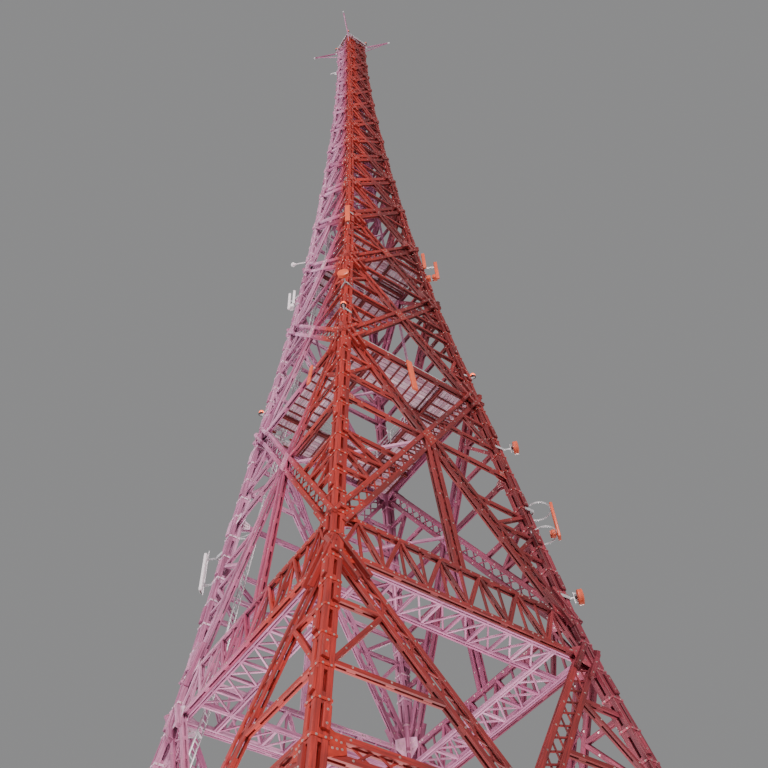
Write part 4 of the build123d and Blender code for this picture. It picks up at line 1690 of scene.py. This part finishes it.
@dataclass
class Ladder:
    """Ladder inside the front left leg."""

    width: float = 0.046
    bar: float = 0.008
    pitch: float = 0.03
    rung: float = 0.0042
    drop: float = 0.06
    above: float = 0.11
    more_brackets: tuple[float, ...] = (0.23, 0.7, 1.2, 1.75, 3.3, 4.5)

    def place(self, z: float) -> Vector:
        """Middle of the ladder at a level."""
        c = PROFILE.ladder_centre(min(z, PROFILE.height))
        return Vector((-c, -c, z))

    def build(self, shop: Workshop, palette: Palette) -> None:
        """Makes rails, rungs and brackets."""
        parts = PartList()
        across = Vector((1, -1, 0)).normalized()
        outward = Vector((-1, -1, 0)).normalized()
        top = PROFILE.height + self.above
        marks = [*PROFILE.ladder_marks, top]
        for low, high in zip(marks, marks[1:]):
            for s in (1, -1):
                off = across * s * self.width / 2
                parts.add(self.place(low) + off, self.place(high) + off, self.bar, self.bar * 0.6,
                          across)
        z = PROFILE.ladder_start + self.pitch / 2
        while z < top - self.pitch / 2:
            off = across * (self.width / 2 - self.bar / 4)
            parts.add(self.place(z) - off, self.place(z) + off, self.rung, self.rung, UP)
            z += self.pitch
        for z in [z - self.drop for z in KNOTS[0][1:]] + list(self.more_brackets):
            centre = self.place(z)
            reach = (PROFILE.inner(z) + centre.x) * math.sqrt(2)
            for s in (1, -1):
                off = across * s * self.width / 2
                parts.add(centre + off, centre + outward * reach + off * 0.12, self.bar * 0.5,
                          self.bar * 0.7, UP)
            parts.add(centre - across * self.width / 2, centre + across * self.width / 2, self.bar,
                      self.bar, UP)
        give(shop.build("ladder_bars", parts, palette.galvanised, 80, FINE_CHAMFER),
             Surface.GALVANISED, "ladder")


@dataclass
class Perch:
    """Place on a leg, with directions away from the mast and along the plan."""

    corner: Corner
    z: float

    def __post_init__(self) -> None:
        """Works out the directions."""
        self.origin = turned(leg_centre(self.z), self.corner.value)
        self.out = turned(Vector((1, -1, 0)).normalized(), self.corner.value)
        self.side = turned(Vector((1, 1, 0)).normalized(), self.corner.value)
        self.seat = PROFILE.leg_width(self.z) / math.sqrt(2)

    def at(self, out: float, side: float = 0.0, up: float = 0.0) -> Vector:
        """Point given by its distances outward, sideways and up."""
        return self.origin + self.out * out + self.side * side + UP * up


# Turned forms, as the height and radius of each ring; those of a lamp are over its size
LAMP_FOOT = ((0, 0.46), (0.04, 0.54), (0.14, 0.54), (0.18, 0.5), (0.24, 0.5))
LAMP_GLASS = ((0.22, 0.46), (0.27, 0.5), (0.62, 0.5), (0.8, 0.43), (0.93, 0.27), (0.98, 0.1))
LAMP_CAP = ((0.96, 0.09), (1.01, 0.05))
BALL_NECK = ((0, 0.0036), (0.004, 0.007), (0.01, 0.007), (0.012, 0.0036))
DRUM_NECK = ((0, 0.007), (0.009, 0.009))
# Height of each ring of a drum, and its radius over the drum's
DRUM = ((0, 0.55), (0.002, 0.9), (0.005, 0.98), (0.019, 0.98), (0.020, 1), (0.023, 1),
        (0.0245, 0.95), (0.027, 0.72), (0.0285, 0.45), (0.0292, 0.15))


@dataclass
class Fittings:
    """Lamps, booms and antennas."""

    bar: float = 0.008
    arm: float = 0.0022
    clip: float = 0.0045
    clamp_half: float = 0.008
    clamp_sheet: float = 0.002
    boom_reach: float = 0.29
    boom: float = 0.014
    boom_drop: float = 0.024
    boom_brace: float = 0.15
    boom_share: float = 0.85
    boom_cap: float = 0.02
    lamp: float = 0.03
    lamp_reach: float = 0.061
    lamp_level: float = 0.23
    panel_width: float = 0.034
    panel_depth: float = 0.014
    box: float = 0.03
    box_share: float = 1.25
    fins: int = 5
    hoop: float = 0.062
    hoop_sides: int = 28
    ball_reach: float = 0.13
    ball_size: float = 0.0165
    drum_size: float = 0.034

    def __post_init__(self) -> None:
        """Starts the shapes of each finish."""
        self.covers = Shapes()
        self.warm_covers = Shapes()
        self.rods = Shapes()
        self.drums = Shapes()
        self.metal = Shapes()
        self.dark = Shapes()
        self.glass = Shapes()
        self.top_glass = Shapes()

    def lamp_at(self, glass: Shapes, foot: Vector) -> None:
        """Lamp with a round foot, a collar and a domed glass."""
        for made, form, count in ((self.dark, LAMP_FOOT, 20), (glass, LAMP_GLASS, 24),
                                  (self.dark, LAMP_CAP, 10)):
            made.lathe(foot, UP, [(self.lamp * h, self.lamp * r) for h, r in form], count)

    def toned(self, perch: Perch, pale: Shapes) -> Shapes:
        """Shapes for a cover: orange ones on the right legs, the pale ones given on the others."""
        right = perch.corner in (Corner.FRONT_RIGHT, Corner.BACK_RIGHT)
        return self.warm_covers if right else pale

    def upright(self, p: Perch, out: float, length: float) -> None:
        """Cover of an upright panel that faces away from the mast."""
        self.toned(p, self.covers).cover(p.at(out, 0, -length / 2), p.at(out, 0, length / 2), p.out,
                                         self.panel_width, self.panel_depth)

    def pipe(self, p: Perch, start: Place, end: Place, radius: float, count: int = 8) -> None:
        """Round bar of galvanised steel between two places on a perch."""
        self.metal.rod(p.at(*start), p.at(*end), radius, count)

    def clamp(self, p: Perch, up: float) -> None:
        """Pair of flats that hold an arm on a leg."""
        w, low, high = p.seat, up - self.clamp_half, up + self.clamp_half
        for s in (1, -1):
            near, far = (w * 0.1, s * w * 0.95), (w * 1.12, s * self.bar / 2)
            outline = [p.at(*near, low), p.at(*far, low), p.at(*far, high), p.at(*near, high)]
            self.metal.plate(outline, (p.out + p.side * s).normalized() * self.clamp_sheet)

    def panel(self, corner: Corner, z: float, length: float, reach: float) -> None:
        """Upright panel on a pole held by two arms."""
        p = Perch(corner, z)
        pole, face = reach - self.bar / 2, reach + self.panel_depth / 2
        half, plug, clip = length / 2, 0.009, 0.007
        self.pipe(p, (pole, 0, -length * 0.6), (pole, 0, length * 0.6), self.bar * 0.42, 12)
        for s in (1, -1):
            up = s * length * 0.35
            self.clamp(p, up)
            for off in (0.003, -0.003):
                self.pipe(p, (p.seat * 0.8, off, up), (pole, off, up), self.arm)
            for off in (0.0, 0.012):
                self.pipe(p, (pole, -clip, up + off), (pole, clip, up + off), 0.0052)
        self.upright(p, face, length)
        for s in (1, 0, -1):
            self.dark.rod(p.at(face, s * plug, -half - 0.006), p.at(face, s * plug, -half + 0.001),
                          self.arm, 8)

    def hooped(self, corner: Corner, z: float, length: float) -> None:
        """Upright panel outside two hoops round the leg, with a radio box inside."""
        p = Perch(corner, z)
        radius = self.hoop * 0.94
        for s in (1, -1):
            up = s * length * 0.35
            angles = [2 * math.pi * i / self.hoop_sides - math.pi
                      for i in range(self.hoop_sides + 1)]
            ring = [(self.hoop + math.cos(a) * radius, math.sin(a) * radius, up) for a in angles]
            kept = [place for place in ring if place[0] > p.seat * 0.7]
            for a, b in zip(kept, kept[1:]):
                self.pipe(p, a, b, self.bar * 0.42)
            self.clamp(p, up)
        face = self.hoop + self.hoop * math.cos(math.pi / 8)
        self.upright(p, face + self.panel_depth / 2, length)
        self.radio(p, face - self.box / 2, -length * 0.35, self.box)

    def radio(self, p: Perch, out: float, up: float, size: float) -> None:
        """Finned radio box."""
        half = size / 2
        made = self.toned(p, self.covers)
        made.cover(p.at(out, 0, up - half), p.at(out, 0, up + half), p.out, size, size * 0.7, 0.2)
        near, far, low, high = out - size * 0.33, out - half, up - half * 0.8, up + half * 0.8
        for i in range(self.fins):
            y = (i - self.fins // 2) * size * 0.18
            made.plate([p.at(near, y, low), p.at(far, y, low), p.at(far, y, high),
                        p.at(near, y, high)], p.side * 0.001)

    def yoke(self, corner: Corner, z: float, facing: int, width: float,
             panels: Sequence[Place]) -> None:
        """Upright panels side by side on two arms out from the leg, with radio boxes between.

        Args:
            corner: Leg that carries them.
            z: Level from which their ends are measured.
            facing: Side of the arms that the panels are on, 1 or -1.
            width: Width of the panels.
            panels: Distance from the leg's centre, lower end and upper end of each panel.
        """
        p = Perch(corner, z)
        outs, lows, highs = zip(*panels)
        arms = (min(lows) + 0.035, (max(lows) + min(highs)) / 2)
        reach = max(outs)
        for up in arms:
            self.clamp(p, up)
            for off in (0.004, -0.004):
                self.pipe(p, (p.seat * 0.8, 0, up + off), (reach, 0, up + off), 0.0024)
        front, pole = facing * (self.bar + self.panel_depth / 2), facing * self.bar * 0.6
        for out, low, high in panels:
            self.toned(p, self.covers).cover(p.at(out, front, low), p.at(out, front, high),
                                             p.side * facing, width, self.panel_depth)
            self.pipe(p, (out, pole, min(low + 0.01, arms[1])), (out, pole, high - 0.01), 0.0034,
                      10)
            for up in (low + 0.025, high - 0.025):
                self.pipe(p, (out, 0, up), (out, front, up), self.clip)
        size = self.box * self.box_share
        for i in range(max(1, int((reach - p.seat) / (size * 1.1)))):
            self.radio(p, p.seat + size * (0.65 + 1.1 * i), arms[0] + 0.01, size)

    def ball(self) -> None:
        """Ball at the end of a rod."""
        p = Perch(Corner.FRONT_LEFT, PROFILE.waist_level + 0.14)
        reach = self.ball_reach
        self.clamp(p, 0)
        self.rods.rod(p.at(p.seat * 0.7), p.at(reach), self.bar * 0.45, 12)
        self.rods.ball(p.at(reach), self.ball_size)
        self.rods.lathe(p.at(reach - 0.025), p.out, BALL_NECK, 16)

    def fork(self) -> None:
        """Rod with its end turned down over a shorter one."""
        p = Perch(Corner.FRONT_LEFT, PROFILE.height - 0.72)
        reach, drop, radius = 0.1, 0.028, self.bar * 0.45
        tip, root, elbow = reach - self.bar / 2, p.seat * 0.7, reach / 2
        self.rods.rod(p.at(root), p.at(tip), radius)
        self.rods.ball(p.at(tip), radius, 10)
        for start, end in (((tip, 0, 0), (tip, 0, -drop)), ((elbow, 0, 0), (elbow, 0, -2 * drop)),
                           ((root, 0, -2 * drop), (elbow, 0, -2 * drop))):
            self.rods.rod(p.at(*start), p.at(*end), radius)
        for up in (0, -2 * drop):
            self.clamp(p, up)

    def drum(self, corner: Corner, z: float, reach: float) -> None:
        """Round dish with a shroud, a domed cover and a pipe mount."""
        p = Perch(corner, z)
        self.toned(p, self.drums).lathe(p.at(reach), p.out,
                                        [(h, self.drum_size * share) for h, share in DRUM], 36)
        self.clamp(p, 0)
        pole = reach - 0.012
        self.pipe(p, (p.seat * 0.7, 0, 0), (reach + 0.002, 0, 0), self.bar * 0.45, 10)
        self.pipe(p, (pole, 0, -0.03), (pole, 0, 0.03), 0.0034, 10)
        for s in (1, -1):
            self.pipe(p, (pole, 0, s * 0.022), (reach + 0.006, 0, s * 0.026), 0.0018)
        self.dark.lathe(p.at(reach - 0.009), p.out, DRUM_NECK, 12)

    def booms(self, shop: Workshop, palette: Palette) -> None:
        """Booms with their braces at the top platform."""
        parts = PartList()
        drop, cap = -self.boom_drop, self.boom * 1.12
        for corner in Corner:
            p = Perch(corner, PROFILE.height)
            root, end = p.seat, p.seat + self.boom_reach
            parts.add(p.at(root * 0.75, 0, drop), p.at(end, 0, drop), self.boom, self.boom, UP)
            foot = p.at(root * 0.8, 0, drop - self.boom_brace)
            head = p.at(root + self.boom_reach * self.boom_share, 0, drop - self.boom * 0.4)
            parts.add(foot, head, self.boom * 0.5, self.boom * 0.5, UP)
            for start in (end - self.boom_cap, root + self.boom_cap / 2):
                self.metal.cover(p.at(start, 0, drop), p.at(start + self.boom_cap, 0, drop), UP,
                                 cap, cap, 0.2)
        give(shop.build("top_boom_timbers", parts, palette.inner, 90), Surface.BRACE, "top_booms")

    def lamps(self) -> None:
        """Lamps on brackets at the first platform and on the posts of the top railing."""
        for corner in Corner:
            p = Perch(corner, PROFILE.first_level + self.lamp_level)
            reach, half, rib = self.lamp_reach, 0.005, 0.0012
            near, below = p.seat * 0.8, -0.006
            self.clamp(p, below)
            self.metal.plate([p.at(near, -half, below), p.at(reach, -half, below / 2),
                              p.at(reach, half, below / 2), p.at(near, half, below)], UP * 0.003)
            near, up = p.seat * 0.9, -0.004
            self.metal.plate([p.at(near, -rib, -0.03), p.at(reach - 0.008, -rib, up),
                              p.at(near, -rib, up)], p.side * 2 * rib)
            self.lamp_at(self.glass, p.at(reach - self.lamp * 0.3))
        post = PROFILE.top_side / 2 + 0.009
        for corner in Corner:
            foot = turned(Vector((post, -post, PROFILE.height + 0.124)), corner.value)
            self.lamp_at(self.top_glass, foot)

    def hung(self, made: Shapes, side: Side, share: float, length: float, width: float) -> None:
        """Panel on the outside of a face under the edge of the first platform.

        Args:
            made: Shapes that it is added to.
            side: Face that carries it.
            share: Place across the face, over half its width.
            length: Length of the panel.
            width: Width of the panel.
        """
        bay = Bay(PROFILE.ring_top, PROFILE.first_level)
        x = PROFILE.inner(bay.high) * share
        skin = bay.thickness / 2
        middle = skin + 0.012 + self.panel_depth / 2
        low, high = [turned(bay.at((x, bay.high - down), middle), side.value)
                     for down in (length, 0.005)]
        out = turned(bay.out, side.value)
        made.cover(low, high, out, width, self.panel_depth)
        for s in (1, -1):
            a = turned(bay.at((x + s * width * 0.22, bay.high - 0.011), skin), side.value)
            self.metal.rod(a, a + out * 0.013, 0.0032, 8)

    def build(self, shop: Workshop, palette: Palette) -> None:
        """Makes all fittings."""
        first, second = PROFILE.first_level, PROFILE.second_level
        self.booms(shop, palette)
        self.lamps()
        self.panel(Corner.FRONT_LEFT, first - 0.93, length=0.23, reach=0.09)
        self.panel(Corner.FRONT_RIGHT, second + 0.19, length=0.23, reach=0.05)
        self.hooped(Corner.BACK_RIGHT, first - 0.96, length=0.22)
        self.yoke(Corner.BACK_RIGHT, second + 0.07, facing=-1, width=0.024,
                  panels=((0.04, -0.03, 0.17), (0.115, -0.2, 0.02)))
        self.yoke(Corner.FRONT_LEFT, second - 0.16, facing=1, width=0.017,
                  panels=((0.039, 0.05, 0.22), (0.07, -0.01, 0.19)))
        self.ball()
        self.fork()
        for corner, z, reach in ((Corner.BACK_RIGHT, first - 0.42, 0.09),
                                 (Corner.BACK_RIGHT, PROFILE.ring_top + 0.09, 0.07),
                                 (Corner.FRONT_RIGHT, first + 0.58, 0.08),
                                 (Corner.BACK_LEFT, first + 0.62, 0.08)):
            self.drum(corner, z, reach)
        hung = Shapes()
        self.hung(hung, Side.FRONT, share=0.38, length=0.17, width=0.022)
        self.hung(hung, Side.RIGHT, share=-0.1, length=0.28, width=self.panel_width)
        for made, name, finish, surface, nodes in (
                (hung, "hung_panel_covers", palette.red_cover, Surface.COVER, ["hung_panels"]),
                (self.covers, "panel_antenna_covers", palette.cover, Surface.COVER,
                 ["panel_antennas"]),
                (self.warm_covers, "orange_antenna_covers", palette.red_cover, Surface.COVER, []),
                (self.rods, "rod_antenna_parts", palette.cover, Surface.COVER, ["rod_antennas"]),
                (self.drums, "drum_antenna_covers", palette.cover, Surface.COVER,
                 ["drum_antennas"]),
                (self.metal, "fitting_brackets", palette.galvanised, Surface.GALVANISED, []),
                (self.dark, "lamp_feet_and_plugs", palette.dark, Surface.DARK_STEEL, []),
                (self.glass, "gallery_lamp_glass", palette.lamp, Surface.LAMP, ["gallery_lamps"]),
                (self.top_glass, "top_lamp_glass", palette.lamp, Surface.LAMP, ["top_lamps"])):
            give(made.build(name, finish), surface, *nodes)


@dataclass
class Foundations:
    """Steel shoes on the footings."""

    shoe: float = 0.096
    sole: float = 0.006
    socket: float = 0.003
    rim: float = 0.0005
    rib: float = 0.004
    rib_place: float = 0.3
    bolt_place: float = 0.4

    def square(self, corner: Corner, half: float, z: float) -> list[Vector]:
        """Level square round the foot of a leg."""
        a = PROFILE.axis(PROFILE.footing_top)
        return [turned(Vector((a + x * half, -a + y * half, z)), corner.value)
                for x, y in ((-1, -1), (1, -1), (1, 1), (-1, 1))]

    def ribs(self, plates: Shapes, corner: Corner) -> None:
        """Eight upright ribs from the socket to the edge of the sole."""
        a, w = PROFILE.axis(PROFILE.footing_top), PROFILE.leg_width(0)
        low, high = PROFILE.footing_top + self.sole, PROFILE.shoe_top
        for turn in QUARTERS:
            out, side = turned(EAST, turn), turned(NORTH, turn)
            for share in (-self.rib_place, self.rib_place):
                foot = Vector((a, -a, 0)) + side * (share * w - self.rib / 2)
                near, far = foot + out * (w / 2 + 0.002), foot + out * (self.shoe / 2 - 0.004)
                outline = [near + UP * low, far + UP * low, near + UP * (high - 0.003)]
                plates.plate([turned(p, corner.value) for p in outline],
                             turned(side, corner.value) * self.rib)

    def build(self, shop: Workshop, palette: Palette) -> None:
        """Makes base plates, ribs and anchor bolts, and finishes the footings."""
        plates, parts = Shapes(), PartList()
        a, w = PROFILE.axis(PROFILE.footing_top), PROFILE.leg_width(0)
        low, high = PROFILE.footing_top, PROFILE.shoe_top
        for corner in Corner:
            for half, levels in ((self.shoe / 2, (low, low + self.sole)),
                                 (w / 2 + self.socket, (low + self.sole, high - self.rim))):
                plates.loft([self.square(corner, half, z) for z in levels])
            self.ribs(plates, corner)
            for turn in QUARTERS:
                off = turned(Vector((self.bolt_place, self.bolt_place, 0)) * self.shoe, turn)
                parts.bolt(turned(Vector((a, -a, low + self.sole)) + off, corner.value), UP)
        give(plates.build("shoe_plates", palette.dark, 20), Surface.DARK_STEEL, "leg_shoes")
        give(shop.bolted("anchor_bolts", parts, palette.galvanised), Surface.GALVANISED)
        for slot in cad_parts["footings"].material_slots:
            slot.material = palette.concrete


@dataclass(frozen=True)
class SoftLight:
    """Large round soft light."""

    name: str
    place: Place
    size: float
    power: float
    colour: Colour = (1.0, 1.0, 1.0)


LIGHTS = (
    SoftLight("key_light", (14, -6, 9), 6.0, 3300, (1.0, 0.97, 0.94)),
    SoftLight("fill_light", (-7, -14, 5), 7.0, 2000, (0.97, 0.97, 1.0)),
    SoftLight("back_light", (-12, 11, 7), 7.0, 1800),
    SoftLight("low_light", (0, 0, 0.02), 1.4, 75, (1.0, 0.97, 0.97)))


@dataclass
class Studio:
    """Pale floor, soft light and the camera that stands where the photograph was taken."""

    distance: float = 3.1138
    bearing: float = math.radians(45) + 0.16291
    pitch: float = 0.93463
    yaw: float = -0.03414
    roll: float = -0.07043
    eye_height: float = 0.16
    focal_pixels: float = 902.2
    picture: float = 768.0
    sensor: float = 36.0
    clip: Point = (0.02, 200)
    floor_half: float = 150.0
    floor_colour: Colour = (0.78, 0.77, 0.76)
    floor_roughness: float = 0.9
    aim: float = 4.5
    sky_colour: Colour = (0.80, 0.80, 0.81)
    sky_strength: float = 0.34

    def camera(self) -> None:
        """Camera at the photograph's viewing angle."""
        place = Vector((math.sin(self.bearing), -math.cos(self.bearing), 0)) * self.distance
        place.z = self.eye_height
        heading = self.bearing + self.yaw
        forward = Vector((-math.sin(heading) * math.cos(self.pitch),
                          math.cos(heading) * math.cos(self.pitch), math.sin(self.pitch)))
        right = forward.cross(UP).normalized()
        up = right.cross(forward)
        r = right * math.cos(self.roll) + up * math.sin(self.roll)
        u = -right * math.sin(self.roll) + up * math.cos(self.roll)
        data = bpy.data.cameras.new("camera")
        data.sensor_width = self.sensor
        data.lens = self.focal_pixels / self.picture * self.sensor
        data.clip_start, data.clip_end = self.clip
        made = placed("camera", data)
        made.matrix_world = Matrix((r, u, -forward)).transposed().to_4x4()
        made.location = place
        bpy.context.scene.camera = made

    def floor(self) -> None:
        """Large plain floor."""
        half = self.floor_half
        mesh = bpy.data.meshes.new("studio_floor")
        mesh.from_pydata([(-half, -half, 0), (half, -half, 0), (half, half, 0), (-half, half, 0)],
                         [], [(0, 1, 2, 3)])
        made = placed("studio_floor", mesh)
        finish = bpy.data.materials.new("studio_floor")
        finish.use_nodes = True
        main = finish.node_tree.nodes["Principled BSDF"]
        main.inputs["Base Color"].default_value = (*self.floor_colour, 1)
        main.inputs["Roughness"].default_value = self.floor_roughness
        mesh.materials.append(finish)

    def light(self) -> None:
        """Soft lights from three sides and from below, and a pale surrounding."""
        for lamp in LIGHTS:
            data = bpy.data.lights.new(lamp.name, "AREA")
            data.shape = "DISK"
            data.size = lamp.size
            data.energy = lamp.power
            data.color = lamp.colour
            made = placed(lamp.name, data)
            made.location = lamp.place
            toward = Vector((0, 0, self.aim)) - Vector(lamp.place)
            made.rotation_euler = toward.to_track_quat("-Z", "Y").to_euler()
        world = bpy.data.worlds.new("studio")
        world.use_nodes = True
        sky = world.node_tree.nodes["Background"].inputs
        sky["Color"].default_value = (*self.sky_colour, 1)
        sky["Strength"].default_value = self.sky_strength
        bpy.context.scene.world = world


def main() -> None:
    """Builds every part of the mast in order."""
    logging.basicConfig(level=logging.INFO, format="%(message)s")
    palette = Palette()
    shop = Workshop()
    for part in (FaceBracing(), Legs(), Platforms(), PlanBracing(), Ladder(), Fittings(),
                 Foundations()):
        part.build(shop, palette)
    studio = Studio()
    studio.camera()
    studio.floor()
    studio.light()
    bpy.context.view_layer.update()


if __name__ == "__main__":
    main()
